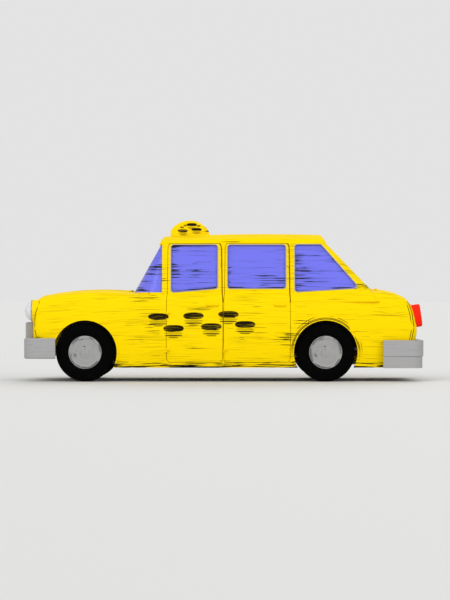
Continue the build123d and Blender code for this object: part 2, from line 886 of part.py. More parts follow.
member_half = 30
member_end = rail_inner - seam
crossmembers = [  # x, height of the underside, depth
    (-2180, front_rail_foot + 5, 70), (-1990, front_rail_foot + 44, 30), (-1120, low_rail_foot + 5, 30),
    (-560, low_rail_foot + 5, 70), (160, low_rail_foot + 5, 70), (1000, high_rail_foot + 5, 70),
    (1520, high_rail_foot + 5, 70), (2140, rear_rail_foot + 5, 70),
]
with BuildPart() as crossmember_set:
    for x, foot, depth in crossmembers:
        add(block((x - member_half, -member_end, foot), (x + member_half, member_end, foot + depth)))
save(crossmember_set.part, "chassis_crossmembers")

# Floor: cabin floor, heel board and raised rear floor, with firewall, tunnel and wheelhouses
firewall_x = -1105
firewall_thick = 25
floor_front_x = firewall_x + firewall_thick
floor_rear_x = 2170
heel_foot_x = 790
heel_head_x = 920
heel_thick = 13
tunnel_half = 150
tunnel_wall = 20
tunnel_top = 560
tunnel_rear_x = 900
house_clear = 40
house_wall = 20
house_inner_y = 560
house_radius = arch_radius + house_clear
floor_under = [
    (floor_front_x, floor_height), (heel_foot_x, floor_height),
    (heel_head_x, rear_floor_foot), (floor_rear_x, rear_floor_foot),
]
floor_over = [
    (floor_rear_x, rear_floor_height), (heel_head_x - heel_thick, rear_floor_height),
    (heel_foot_x - heel_thick, floor_height + floor_thickness),
    (floor_front_x, floor_height + floor_thickness),
]
with BuildPart() as floor_pan:
    add(side_plate(floor_under + floor_over, -far / 2, far / 2))
    add(block((firewall_x, -far / 2, floor_height), (floor_front_x, far / 2, cowl_foot - seam)))
    add(block(
        (floor_front_x - 10, -tunnel_half, floor_height), (tunnel_rear_x, tunnel_half, tunnel_top),
    ))
    for side in sides:
        add(rod((rear_axle_x, side * house_inner_y, tyre_radius),
                (rear_axle_x, side * (house_inner_y + 340), tyre_radius), house_radius))
    for side in sides:
        add(rod((rear_axle_x, side * (house_inner_y + house_wall), tyre_radius),
                (rear_axle_x, side * (house_inner_y + 440), tyre_radius), house_radius - house_wall),
            mode=Mode.SUBTRACT)
    bore_half = tunnel_half - tunnel_wall
    floor_cut_top = rear_floor_foot - 0.1
    for bore_rear_x, bore_top in (
        (tunnel_rear_x - tunnel_wall, tunnel_top - tunnel_wall),
        (tunnel_rear_x + 60, floor_cut_top),
    ):
        add(block((-far, -bore_half, 0), (bore_rear_x, bore_half, bore_top)), mode=Mode.SUBTRACT)
    add(block((-far, -far, 0), (heel_foot_x - 10, far, floor_height)), mode=Mode.SUBTRACT)
    add(block((-far, -far, 0), (far, far, sill_height + 8)), mode=Mode.SUBTRACT)
    post_slot_y = 1000 - 259
    for low, high in (
        ((heel_foot_x - 10, house_inner_y - 1, -far),
         (rear_axle_x + house_radius, house_inner_y + house_wall + 1, floor_cut_top)),
        ((heel_head_x + 5, house_inner_y + 10, -far), (far, far, 300)),
        ((post_front_x - seam, post_slot_y, -far), (post_rear_x + seam, far, 400)),
    ):
        add(both_sides(block(low, high)), mode=Mode.SUBTRACT)
    add(room_fit, mode=Mode.INTERSECT)
save(floor_pan.part, "floor_pan")

shelf_front_x = 1080
shelf_rear_x = 1680
shelf_height = 1005
shelf_half = 700
with BuildPart() as parcel_shelf:
    shelf_back = shelf_front_x + floor_thickness
    add(block((shelf_front_x, -shelf_half, 800), (shelf_back, shelf_half, shelf_height)))
    add(block(
        (shelf_front_x, 5 - house_inner_y, rear_floor_height + seam),
        (shelf_back, house_inner_y - 5, shelf_height),
    ))
    add(block(
        (shelf_front_x, -shelf_half, shelf_height - floor_thickness),
        (shelf_rear_x, shelf_half, shelf_height),
    ))
save(parcel_shelf.part, "parcel_shelf")

# Engine and gearbox as one plain block, on a cross beam between the rails
engine_low = (-1950, -230, 425)
engine_high = (-1250, 230, 900)
engine_roll = 18
gearbox_rear_x = -800
output_height = 400
bell_radius = 125
gearbox_radius = 90
with BuildPart() as engine:
    add(block(engine_low, engine_high))
    fillet(engine.edges(), engine_roll)
    bell_x = (engine_high[0] - 10, engine_high[0] + 130)
    bell_height = output_height + 10
    add(rod((bell_x[0], 0, bell_height), (bell_x[1], 0, bell_height), bell_radius))
    add(rod((bell_x[1] - 10, 0, bell_height), (gearbox_rear_x, 0, output_height), gearbox_radius))
    add(block((-1640, -member_end, engine_low[2] + 15), (-1580, member_end, engine_low[2] + 45)))
save(engine.part, "engine")

radiator_foot = crossmembers[0][1] + crossmembers[0][2] + seam
with BuildPart() as radiator:
    add(block((-2205, -330, radiator_foot), (-2150, 330, 860)))
save(radiator.part, "radiator")

# Front axle: a dropped beam with a kingpin at each end, on which the knuckles turn
kingpin_y = 590
kingpin_radius = 14
kingpin_heights = (262, 428)
boss_radius = 2 * kingpin_radius
boss_heights = (300, 390)
beam_half = 30
beam_under = [(-575, 310), (-500, 285), (500, 285), (575, 310)]
beam_top = 325
beam_over = [
    (575, 380), (545, 380), (480, beam_top), (-480, beam_top), (-545, 380), (-575, 380),
]
spindle_radius = 22
spindle_end = wheel_y + 50
drum_radius = 135
drum_y = 664
drum_thick = 7
arm_x = front_axle_x + 170
arm_half = 14
arm_heights = (268, 288)
arm_pin_radius = 8
tie_rod_height = 244
tie_rod_radius = 11
tie_rod_eye = (18, 13)
with BuildPart() as front_axle:
    with BuildSketch(Plane.YZ.offset(front_axle_x - beam_half)):
        with BuildLine():
            Polyline(*beam_under, *beam_over, close=True)
        make_face()
    extrude(amount=2 * beam_half)
    for side in sides:
        pin_xy = (front_axle_x, side * kingpin_y)
        add(rod((*pin_xy, boss_heights[0]), (*pin_xy, boss_heights[1]), boss_radius))
        add(rod((*pin_xy, kingpin_heights[0]), (*pin_xy, kingpin_heights[1]), kingpin_radius))
save(front_axle.part, "front_axle")

# Knuckle: a fork over the kingpin boss, with the spindle, the drum's plate and the steering arm
fork_thick = 30
fork_feet = (boss_heights[0] - moving_gap - fork_thick, boss_heights[1] + moving_gap)
fork_root_y = 640
with BuildPart() as knuckle:
    pin_xy = (front_axle_x, -kingpin_y)
    arm_xy = (arm_x, -kingpin_y)
    for foot in fork_feet:
        add(rod((*pin_xy, foot), (*pin_xy, foot + fork_thick), boss_radius + 2))
        add(block(
            (front_axle_x - beam_half, -fork_root_y - 15, foot),
            (front_axle_x + beam_half, -kingpin_y, foot + fork_thick),
        ))
    add(block(
        (front_axle_x - beam_half - 4, -fork_root_y - 25, fork_feet[0]),
        (front_axle_x + beam_half + 4, -fork_root_y, fork_feet[1] + fork_thick),
    ))
    add(rod((front_axle_x, -fork_root_y, tyre_radius), (front_axle_x, -spindle_end, tyre_radius),
            spindle_radius))
    add(rod((front_axle_x, -drum_y, tyre_radius), (front_axle_x, -drum_y - drum_thick, tyre_radius),
            drum_radius))
    add(block(
        (front_axle_x, -kingpin_y - arm_half, arm_heights[0]),
        (arm_x, arm_half - kingpin_y, arm_heights[1]),
    ))
    add(rod((*arm_xy, arm_heights[0]), (*arm_xy, arm_heights[1]), arm_half))
    add(rod((*arm_xy, tie_rod_height - tie_rod_eye[0]), (*arm_xy, arm_heights[1]), arm_pin_radius))
    for foot in fork_feet:
        add(rod((*pin_xy, foot - moving_gap), (*pin_xy, foot + fork_thick + moving_gap),
                kingpin_radius + running_fit), mode=Mode.SUBTRACT)
save(knuckle.part, "knuckle_left")
save(mirror(knuckle.part, about=Plane.XZ), "knuckle_right")

with BuildPart() as tie_rod:
    rod_half = kingpin_y - 10
    eye_radius, eye_half = tie_rod_eye
    add(rod((arm_x, -rod_half, tie_rod_height), (arm_x, rod_half, tie_rod_height), tie_rod_radius))
    for radius, reach, mode in ((eye_radius, eye_half, Mode.ADD),
                                (arm_pin_radius + running_fit, eye_half + 8, Mode.SUBTRACT)):
        for side in sides:
            eye_xy = (arm_x, side * kingpin_y)
            add(rod((*eye_xy, tie_rod_height - reach), (*eye_xy, tie_rod_height + reach), radius),
                mode=mode)
save(tie_rod.part, "tie_rod")

# Rear axle: tubes out of a round differential, with a drum's plate and a spindle at each end
tube_radius = 40
tube_end = 640
differential_radius = 118
with BuildPart() as rear_axle:
    add(rod((rear_axle_x, -tube_end, tyre_radius), (rear_axle_x, tube_end, tyre_radius), tube_radius))
    with Locations((rear_axle_x, 0, tyre_radius)):
        Sphere(differential_radius)
    for side in sides:
        add(rod((rear_axle_x, side * (tube_end - 40), tyre_radius),
                (rear_axle_x, side * spindle_end, tyre_radius), spindle_radius))
        add(rod((rear_axle_x, side * tube_end, tyre_radius),
                (rear_axle_x, side * (drum_y + drum_thick), tyre_radius), drum_radius))
save(rear_axle.part, "rear_axle")

# Wheels and tyres: sections, across the wheel and outward from its middle, turned round the axle
bead_radius = rim_radius - 11.7
tread = (54, tyre_radius - 2)
flank_arc = ((79, rim_radius + 32), (tyre_width / 2, 262), (77, tyre_radius - 33))
shoulder_arc = (flank_arc[2], (70, tyre_radius - 11), tread)
bead_line = ((62, bead_radius), (68, rim_radius + 6), flank_arc[0])
with BuildPart() as tyre:
    with BuildSketch(Plane.XY):
        with BuildLine():
            for way in (-1, 1):
                Polyline(*[(way * across, out) for across, out in bead_line])
                ThreePointArc(*[(way * across, out) for across, out in flank_arc])
                ThreePointArc(*[(way * across, out) for across, out in shoulder_arc])
            ThreePointArc((-tread[0], tread[1]), (0, tyre_radius), tread)
            Line((-bead_line[0][0], bead_radius), bead_line[0])
        make_face()
    revolve(axis=Axis.X)

# Wheel: a well with a domed cover outside, and a dished disc with its hub inside
well_radius = rim_radius - 22
hub_bore = spindle_radius + running_fit
with BuildPart() as wheel:
    with BuildSketch(Plane.XY):
        with BuildLine():
            Polyline(
                (-72, well_radius), (58, well_radius), (58, 70), (61, 30), (63, 0), (74, 0), (71, 40),
                (64, 76), (64, 150), (72, rim_radius - 20), (72, rim_radius + 3), (70, rim_radius + 3),
                (62.5, rim_radius - 12), (-62.5, rim_radius - 12), (-70, rim_radius + 3),
                (-72, rim_radius + 3), close=True,
            )
        make_face()
        with BuildLine():
            Polyline(
                (-34, hub_bore), (-34, 60), (6, 60), (16, 120), (6, well_radius + 1),
                (14, well_radius + 1), (26, 120), (16, 60), (44, 56), (44, hub_bore), close=True,
            )
        make_face()
    revolve(axis=Axis.X)
for axle_name, axle_x in (("front", front_axle_x), ("rear", rear_axle_x)):
    place = Location((axle_x, -wheel_y, tyre_radius), (0, 0, -90))
    for piece, name in ((tyre.part, "tyre"), (wheel.part, "wheel")):
        placed = piece.moved(place)
        save(placed, f"{axle_name}_left_{name}")
        save(mirror(placed, about=Plane.XZ), f"{axle_name}_right_{name}")

# Road springs: leaf packs over the beam and under the tube, each eye on a pin out of its rail
leaf_stack = 34
leaf_end = 20
leaf_seat_half = 45
spring_eye = 9
eye_inset = 4
eye_rise = 10.5
spring_places = (  # middle across the car, width, far end of the eye, the rail's face, front, seat, rear
    (335, 48, 315, rail_inner - seam, (-2080, 345), (front_axle_x, beam_top + seam), (-1190, 290)),
    (480, 50, 500, rail_outer + seam, (620, 285),
     (rear_axle_x, tyre_radius - tube_radius - leaf_stack - seam), (1770, 430)),
)
with BuildPart() as springs:
    for middle, width, eye_y, face_y, start, seat, end in spring_places:
        under = [start, (seat[0] - leaf_seat_half, seat[1]), (seat[0] + leaf_seat_half, seat[1]), end]
        over = [
            (end[0], end[1] + leaf_end), (seat[0] + leaf_seat_half, seat[1] + leaf_stack),
            (seat[0] - leaf_seat_half, seat[1] + leaf_stack), (start[0], start[1] + leaf_end),
        ]
        add(side_plate(under + over, -middle - width / 2, -middle + width / 2))
        for x, z in ((start[0] + eye_inset, start[1]), (end[0] - eye_inset, end[1])):
            add(rod((x, -face_y, z + eye_rise), (x, -eye_y, z + eye_rise), spring_eye))
save(both_sides(springs.part), "leaf_springs")

# Propeller shaft, exhaust with its silencer under two crossmembers, and the tank behind the axle
shaft_radius = 32
with BuildPart() as shaft:
    shaft_start = (gearbox_rear_x + 2 * seam, 0, output_height)
    shaft_end = (rear_axle_x - differential_radius - seam, 0, tyre_radius)
    add(rod(shaft_start, shaft_end, shaft_radius))
save(shaft.part, "propeller_shaft")

pipe_radius = 22
pipe_y = engine_high[1] + 32
pipe_height = 210
manifold_height = 560
downpipe_x = -1390
silencer_radius = 62
silencer_reach = (200, 700)
tailpipe_height = 187
with BuildPart() as exhaust:
    add(rod((-1500, pipe_y, manifold_height), (downpipe_x, pipe_y, manifold_height), pipe_radius))
    add(rod((downpipe_x, pipe_y, manifold_height + 11), (downpipe_x, pipe_y, pipe_height - 11),
            pipe_radius))
    add(rod((downpipe_x - 10, pipe_y, pipe_height), (1700, pipe_y, pipe_height), pipe_radius))
    add(rod((1690, pipe_y, pipe_height + 1), (1850, pipe_y, tailpipe_height - 2), pipe_radius))
    add(rod((1842, pipe_y, tailpipe_height), (2150, pipe_y, tailpipe_height), pipe_radius))
    add(rod((silencer_reach[0], pipe_y, pipe_height), (silencer_reach[1], pipe_y, pipe_height),
            silencer_radius))
    for hanger_x in (crossmembers[3][0], crossmembers[4][0]):
        add(block(
            (hanger_x - 14, pipe_y - 6, pipe_height + 2),
            (hanger_x + 14, pipe_y + 6, low_rail_foot + 5 - seam),
        ))
save(exhaust.part, "exhaust")

tank_corner = 30
with BuildPart() as tank:
    tank_front_x = crossmembers[6][0] + member_half + seam
    add(block((tank_front_x, -330, 300), (1990, pipe_y - 42, 480)))
    fillet(tank.edges().filter_by(Axis.Z), tank_corner)
save(tank.part, "fuel_tank")

# Seats, dashboard and steering
seat_foot = floor_height + floor_thickness + seam
bench_foot = rear_floor_height + seam
front_seat_half = 660
rear_seat_half = 550
front_seat_outline = [
    (-490, seat_foot), (-490, 600), (-440, 640), (-190, 610), (-110, 1060), (-60, 1085), (-20, 1040),
    (-60, 580), (-70, seat_foot),
]
rear_seat_outline = [
    (470, seat_foot), (470, 600), (530, 640), (880, 600), (990, 1010), (1060, 1010),
    (shelf_front_x - 1, 960), (shelf_front_x - 1, bench_foot),
    (heel_head_x - heel_thick - seam, bench_foot), (heel_foot_x - heel_thick - 1, seat_foot),
]
with BuildPart() as seats:
    for outline, half in ((front_seat_outline, front_seat_half), (rear_seat_outline, rear_seat_half)):
        add(side_plate(outline, -half, half))
    add(block((-far, -tunnel_half - 6, 0), (far, tunnel_half + 6, tunnel_top + 6)), mode=Mode.SUBTRACT)
save(seats.part, "seats")

dashboard_heights = (860, 990)
dashboard_half = 700
dashboard_rear_x = -840
dashboard_roll = 24
trim_front_x = floor_front_x + seam
with BuildPart() as dashboard:
    add(block(
        (trim_front_x, -dashboard_half, dashboard_heights[0]),
        (dashboard_rear_x, dashboard_half, dashboard_heights[1]),
    ))
    fillet(dashboard.edges().filter_by(Axis.Y), dashboard_roll)
save(dashboard.part, "dashboard")

wheel_centre = Vector(-530, -370, 950)
column_tilt = radians(22.7)
column_radius = 24
shaft_end_radius = 9
bracket_half = 40
bracket_heights = (640, 800)
column_axis = Vector(cos(column_tilt), 0, sin(column_tilt))
column_foot_x = trim_front_x + 14
column_foot = wheel_centre - column_axis * ((wheel_centre.X - column_foot_x) / cos(column_tilt))
hub_foot = -40
hub_top = 20
with BuildPart() as column:
    add(rod(tuple(column_foot), tuple(wheel_centre + column_axis * (hub_foot - 20)), column_radius))
    add(rod(tuple(column_foot), tuple(wheel_centre + column_axis * (hub_foot + 20)), shaft_end_radius))
    add(block(
        (trim_front_x, wheel_centre.Y - bracket_half, bracket_heights[0]),
        (column_foot_x + 14, wheel_centre.Y + bracket_half, bracket_heights[1]),
    ))
save(column.part, "steering_column")

rim_reach = 200
rim_thick = 13
spoke_size = (rim_reach - 5, 26, 10)
hub_radius = 38
with BuildPart() as steering_wheel:
    with BuildSketch(Plane.XZ):
        with Locations((rim_reach, 0)):
            Circle(rim_thick)
    revolve(axis=Axis.Z)
    for turn in (90, 210, 330):
        with BuildPart(mode=Mode.PRIVATE) as spoke:
            with Locations(Location((0, 0, 0), (0, 0, turn))):
                Box(*spoke_size, align=(Align.MIN, Align.CENTER, Align.CENTER))
        add(spoke.part)
    with BuildSketch(Plane.XY.offset(hub_foot)):
        Circle(hub_radius)
    extrude(amount=hub_top - hub_foot)
    with BuildSketch(Plane.XY.offset(hub_foot - 1)):
        Circle(shaft_end_radius + running_fit)
    extrude(amount=26, mode=Mode.SUBTRACT)
wheel_plane = Plane(origin=wheel_centre, x_dir=(0, 1, 0), z_dir=column_axis)
save(steering_wheel.part.moved(wheel_plane.location), "steering_wheel")
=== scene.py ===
import math

import bmesh
import bpy
from mathutils import Matrix, Vector


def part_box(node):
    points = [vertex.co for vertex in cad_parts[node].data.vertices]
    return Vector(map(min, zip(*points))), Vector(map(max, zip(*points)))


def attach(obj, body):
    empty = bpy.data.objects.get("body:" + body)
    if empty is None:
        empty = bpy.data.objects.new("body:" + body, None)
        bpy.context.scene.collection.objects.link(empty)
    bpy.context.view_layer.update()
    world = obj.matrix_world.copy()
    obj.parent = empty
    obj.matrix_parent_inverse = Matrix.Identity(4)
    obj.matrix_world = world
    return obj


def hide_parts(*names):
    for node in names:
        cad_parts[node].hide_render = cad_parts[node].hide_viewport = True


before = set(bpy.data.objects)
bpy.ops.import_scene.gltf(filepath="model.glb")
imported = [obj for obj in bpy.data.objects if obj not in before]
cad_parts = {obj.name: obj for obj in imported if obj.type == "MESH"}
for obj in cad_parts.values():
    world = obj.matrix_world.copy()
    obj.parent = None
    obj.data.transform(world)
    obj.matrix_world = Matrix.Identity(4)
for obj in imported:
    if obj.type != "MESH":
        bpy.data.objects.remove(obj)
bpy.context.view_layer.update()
scene = bpy.context.scene
scene.view_settings.view_transform = "Standard"

# Shading steps. Every finish below is put together from these few steps, so that colour, gloss and
# relief of a surface come from the same marks.


def new_group(name, takes, gives):
    """A shader node group with named sockets, and its input and output nodes."""
    group = bpy.data.node_groups.new(name, "ShaderNodeTree")
    for title, kind, value in takes:
        socket = group.interface.new_socket(name=title, in_out="INPUT", socket_type=kind)
        socket.default_value = value
    for title, kind in gives:
        group.interface.new_socket(name=title, in_out="OUTPUT", socket_type=kind)
    return group, group.nodes.new("NodeGroupInput"), group.nodes.new("NodeGroupOutput")


def feed(tree, socket, value):
    """Gives a socket a number, a colour or the value of another socket."""
    if isinstance(value, (int, float, tuple)):
        socket.default_value = value
    else:
        tree.links.new(value, socket)


def math_step(tree, operation, first, second=None, clamp=False):
    """A Math node fed by sockets or numbers, and the socket that it gives."""
    step = tree.nodes.new("ShaderNodeMath")
    step.operation = operation
    step.use_clamp = clamp
    feed(tree, step.inputs[0], first)
    if second is not None:
        feed(tree, step.inputs[1], second)
    return step.outputs[0]


def total(tree, first, *others):
    """The sum of sockets and numbers."""
    for other in others:
        first = math_step(tree, "ADD", first, other)
    return first


def product(tree, first, *others):
    """The product of sockets and numbers."""
    for other in others:
        first = math_step(tree, "MULTIPLY", first, other)
    return first


def difference(tree, first, second):
    """The first value less the second."""
    return math_step(tree, "SUBTRACT", first, second)


def strongest(tree, so_far, mark):
    """The larger of the marks so far and one more mark."""
    return mark if so_far is None else math_step(tree, "MAXIMUM", so_far, mark)


def between(tree, value, low, high):
    """Rises smoothly from 0 to 1 as a value goes from low to high."""
    span = tree.nodes.new("ShaderNodeMapRange")
    span.interpolation_type = "SMOOTHSTEP"
    feed(tree, span.inputs["Value"], value)
    feed(tree, span.inputs["From Min"], low)
    feed(tree, span.inputs["From Max"], high)
    return span.outputs["Result"]


def blend_colour(tree, factor, first, second):
    """A Mix node for colours, and the colour that it gives."""
    mix = tree.nodes.new("ShaderNodeMix")
    mix.data_type = "RGBA"
    for place, value in ((0, factor), (6, first), (7, second)):
        feed(tree, mix.inputs[place], value)
    return mix.outputs[2]


def object_place(tree):
    """The socket of a piece's own coordinates."""
    return tree.nodes.new("ShaderNodeTexCoord").outputs["Object"]


def object_axes(tree):
    """The sockets of a piece's own X, Y and Z."""
    axes = tree.nodes.new("ShaderNodeSeparateXYZ")
    tree.links.new(object_place(tree), axes.inputs["Vector"])
    return axes.outputs["X"], axes.outputs["Y"], axes.outputs["Z"]


def joined_vector(tree, x, y, z):
    """A vector from three sockets or numbers."""
    joined = tree.nodes.new("ShaderNodeCombineXYZ")
    for socket, value in zip(joined.inputs, (x, y, z)):
        feed(tree, socket, value)
    return joined.outputs["Vector"]


def scaled_place(tree, place, scale, tilt=0.0):
    """Coordinates that are tilted about the car's length and scaled along each axis."""
    mapping = tree.nodes.new("ShaderNodeMapping")
    mapping.inputs["Rotation"].default_value = (tilt, 0, 0)
    mapping.inputs["Scale"].default_value = scale
    tree.links.new(place, mapping.inputs["Vector"])
    return mapping.outputs["Vector"]


def stretched_noise(tree, stretch, detail, roughness, distortion=0.0, place=None):
    """Noise over the piece's own or given coordinates, stretched by a factor along each axis."""
    noise = tree.nodes.new("ShaderNodeTexNoise")
    noise.inputs["Scale"].default_value = 1.0
    noise.inputs["Detail"].default_value = detail
    noise.inputs["Roughness"].default_value = roughness
    noise.inputs["Distortion"].default_value = distortion
    spread = scaled_place(tree, place or object_place(tree), stretch)
    tree.links.new(spread, noise.inputs["Vector"])
    return noise.outputs["Fac"]


def shader_of(material):
    """A material's Principled shader."""
    return material.node_tree.nodes["Principled BSDF"]


def add_relief(material, height, distance, strength):
    """Raises a material's surface by a height socket."""
    tree = material.node_tree
    relief = tree.nodes.new("ShaderNodeBump")
    relief.inputs["Distance"].default_value = distance
    relief.inputs["Strength"].default_value = strength
    tree.links.new(height, relief.inputs["Height"])
    tree.links.new(relief.outputs["Normal"], shader_of(material).inputs["Normal"])


def plain_material(name, colour, roughness, metallic=0.0, coat=0.0, specular=0.5, transmission=0.0):
    """A material with its Principled shader set."""
    material = bpy.data.materials.new(name)
    material.use_nodes = True
    shader = shader_of(material)
    shader.inputs["Base Color"].default_value = (*colour, 1)
    shader.inputs["Roughness"].default_value = roughness
    shader.inputs["Metallic"].default_value = metallic
    shader.inputs["Coat Weight"].default_value = coat
    shader.inputs["Specular IOR Level"].default_value = specular
    shader.inputs["Transmission Weight"].default_value = transmission
    return material


def dress(material, *names):
    """Gives CAD nodes a material."""
    for name in names:
        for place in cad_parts[name].material_slots:
            place.material = material


# Studio. The car stands on a pale seamless floor under three broad soft lamps, and is seen
# square on from its left side by a long lens, as the reference shows it.
picture_pixels = 450
metres_per_pixel = 0.0117
aim_x = 0.013
aim_z = 0.959
camera_distance = 30.0
near_side = 0.88
sensor_width = 36.0
view_reach = 2000.0
floor_reach = 900
lamp_spread = math.radians(40)
world_light = 0.56
world_seen = 0.77

camera_data = bpy.data.cameras.new("side_camera")
camera_data.sensor_fit = "HORIZONTAL"
camera_data.sensor_width = sensor_width
camera_data.lens = sensor_width * (camera_distance - near_side) / (picture_pixels * metres_per_pixel)
camera_data.clip_end = view_reach
camera = bpy.data.objects.new("side_camera", camera_data)
camera.location = (aim_x, -camera_distance, aim_z)
camera.rotation_euler = (math.radians(90), 0, 0)
scene.collection.objects.link(camera)
scene.camera = camera

floor_mesh = bpy.data.meshes.new("studio_floor")
floor_mesh.from_pydata(
    [
        (-floor_reach, -floor_reach, 0),
        (floor_reach, -floor_reach, 0),
        (floor_reach, floor_reach, 0),
        (-floor_reach, floor_reach, 0),
    ],
    [],
    [(0, 1, 2, 3)],
)
studio_floor = bpy.data.objects.new("studio_floor", floor_mesh)
scene.collection.objects.link(studio_floor)
floor_mesh.materials.append(plain_material("pale_floor", (0.72, 0.72, 0.71), 0.9))

for lamp_name, place, power in (
    ("key_lamp", (-4.1, -7.1, 5.7), 1.08),
    ("fill_lamp", (5.2, -7.4, 4.2), 0.68),
    ("back_lamp", (2.0, 8.0, 5.7), 0.90),
):
    lamp_data = bpy.data.lights.new(lamp_name, "SUN")
    lamp_data.angle = lamp_spread
    lamp_data.energy = power
    lamp = bpy.data.objects.new(lamp_name, lamp_data)
    lamp.location = place
    lamp.rotation_euler = (-Vector(place)).to_track_quat("-Z", "Y").to_euler()
    scene.collection.objects.link(lamp)

world = bpy.data.worlds.new("studio_world")
world.use_nodes = True
scene.world = world
world_tree = world.node_tree
world_shade = world_tree.nodes["Background"]
world_shade.inputs["Color"].default_value = (1.0, 1.0, 1.0, 1)
ray = world_tree.nodes.new("ShaderNodeLightPath").outputs
plain_sight = total(world_tree, ray["Is Camera Ray"], ray["Is Glossy Ray"])
plain_sight = math_step(world_tree, "ADD", plain_sight, ray["Is Transmission Ray"], clamp=True)
extra = product(world_tree, plain_sight, world_seen - world_light)
world_tree.links.new(total(world_tree, extra, world_light), world_shade.inputs["Strength"])

# Brushed finish. Every coloured surface of the car is laid on with a dry, wide brush that was
# dragged along it, so that dark ground shows through in thin streaks that run fore and aft.
streak_edge = 0.035
patch_strength = 0.80
wear_strength = 0.2
hair_patch_strength = 0.25
hair_from = 0.72
hair_to = 0.80
streak_roughness = 0.3
brush_relief = 0.4
crown_slope = 0.5

brush_group, brush_in, brush_out = new_group(
    "dry_brush",
    (
        ("Colour", "NodeSocketColor", (1, 1, 1, 1)),
        ("Ground", "NodeSocketColor", (0, 0, 0, 1)),
        ("Cover", "NodeSocketFloat", 0.66),
        ("Hairlines", "NodeSocketFloat", 0.5),
        ("Wear", "NodeSocketFloat", 0.0),
        ("Place", "NodeSocketVector", (0, 0, 0)),
    ),
    (("Colour", "NodeSocketColor"), ("Streaks", "NodeSocketFloat"), ("Ridges", "NodeSocketFloat")),
)
brush_take = brush_in.outputs
bristles, patches, fine_hairs, hair_patches = (
    stretched_noise(brush_group, stretch, detail, roughness, distortion, brush_take["Place"])
    for stretch, detail, roughness, distortion in (
        ((1.7, 1.0, 82.0), 4.0, 0.6, 0.15),
        ((1.9, 1.0, 4.6), 2.0, 0.5, 0.0),
        ((1.8, 1.0, 190.0), 2.0, 0.45, 0.0),
        ((1.6, 1.0, 9.0), 1.0, 0.5, 0.0),
    )
)
patch_lift = product(brush_group, difference(brush_group, patches, 0.5), patch_strength)
worn = product(brush_group, brush_take["Wear"], wear_strength)
reach = total(brush_group, bristles, patch_lift, worn)
cover_end = total(brush_group, brush_take["Cover"], streak_edge)
streaks = between(brush_group, reach, brush_take["Cover"], cover_end)
hair_reach = total(brush_group, fine_hairs, product(brush_group, hair_patches, hair_patch_strength))
hairs = product(brush_group, between(brush_group, hair_reach, hair_from, hair_to), brush_take["Hairlines"])
shown_ground = strongest(brush_group, streaks, hairs)
laid_on = blend_colour(brush_group, shown_ground, brush_take["Colour"], brush_take["Ground"])
brush_group.links.new(laid_on, brush_out.inputs["Colour"])
brush_group.links.new(shown_ground, brush_out.inputs["Streaks"])
brush_group.links.new(difference(brush_group, fine_hairs, shown_ground), brush_out.inputs["Ridges"])


def flank_lay(tree):
    """Brush coordinates for upright panels: strokes run level."""
    return scaled_place(tree, object_place(tree), (1.0, 0.4, 1.0))


def top_lay(tree):
    """Brush coordinates for panels that face up: strokes run fore and aft, side by side."""
    return scaled_place(tree, object_place(tree), (1.0, 0.4, 0.6), math.radians(90))


def crowned_lay(tree):
    """Brush coordinates for sides that roll over to the top: strokes run fore and aft on both."""
    x, y, z = object_axes(tree)
    inward = product(tree, math_step(tree, "ABSOLUTE", y), crown_slope)
    return joined_vector(tree, x, math_step(tree, "SIGN", y), difference(tree, z, inward))


def brushed_material(
    name, colour, ground, cover, hairlines, roughness,
    bump=0.0004, specular=0.3, metallic=0.0, transmission=0.0, lay=flank_lay,
):
    """A material laid on by the dry brush."""
    material = plain_material(
        name, colour, roughness, metallic=metallic, specular=specular, transmission=transmission
    )
    tree = material.node_tree
    brush = tree.nodes.new("ShaderNodeGroup")
    brush.name = "brush"
    brush.node_tree = brush_group
    brush.inputs["Colour"].default_value = (*colour, 1)
    brush.inputs["Ground"].default_value = (*ground, 1)
    brush.inputs["Cover"].default_value = cover
    brush.inputs["Hairlines"].default_value = hairlines
    tree.links.new(lay(tree), brush.inputs["Place"])
    tree.links.new(brush.outputs["Colour"], shader_of(material).inputs["Base Color"])
    spread = tree.nodes.new("ShaderNodeMapRange")
    spread.inputs["To Min"].default_value = roughness
    spread.inputs["To Max"].default_value = min(roughness + streak_roughness, 1.0)
    tree.links.new(brush.outputs["Streaks"], spread.inputs["Value"])
    tree.links.new(spread.outputs["Result"], shader_of(material).inputs["Roughness"])
    add_relief(material, brush.outputs["Ridges"], bump, brush_relief)
    return material


def wear_of(material):
    """The socket that thins the paint of a brushed material."""
    return material.node_tree.nodes["brush"].inputs["Wear"]


# Marks. Dark ovals, the lines that follow the wheel arches and the lines at the body's ends are painted
# over the brushed finish; the thin strokes under each oval are painted shadow, and the lines round the
# rear arch are painted shade at the edges of its lip. They are brushed on as well, so they waver, break
# and fray.
marks_out = (("Marks", "NodeSocketFloat"),)
wheel_x = {"front": -1.630, "rear": 1.195}
axle_height = 0.345
facing_from = 0.15
facing_full = 0.25
line_wander = 0.03
line_end = 0.05
arch_foot = -0.06
arch_full = 0.1
rim_wander = 0.02
rim_ink = 0.8
oval_blunt = 3.2
oval_core = 0.88
oval_rim = 1.08
oval_fray = 2.4
oval_frayed_below = 0.25
strand_from = 0.50
strand_full = 0.66
strand_gap = 0.22
# Strokes of one oval: the first is the oval, the three below it are its painted shadow. Each gives the
# drop in half heights, and the shares of length, height and darkness.
oval_and_shadow_strokes = (
    (0.0, 1.0, 1.0, 1.0),
    (1.45, 0.92, 0.34, 0.38),
    (2.10, 0.86, 0.21, 0.95),
    (2.65, 0.50, 0.16, 0.80),
)


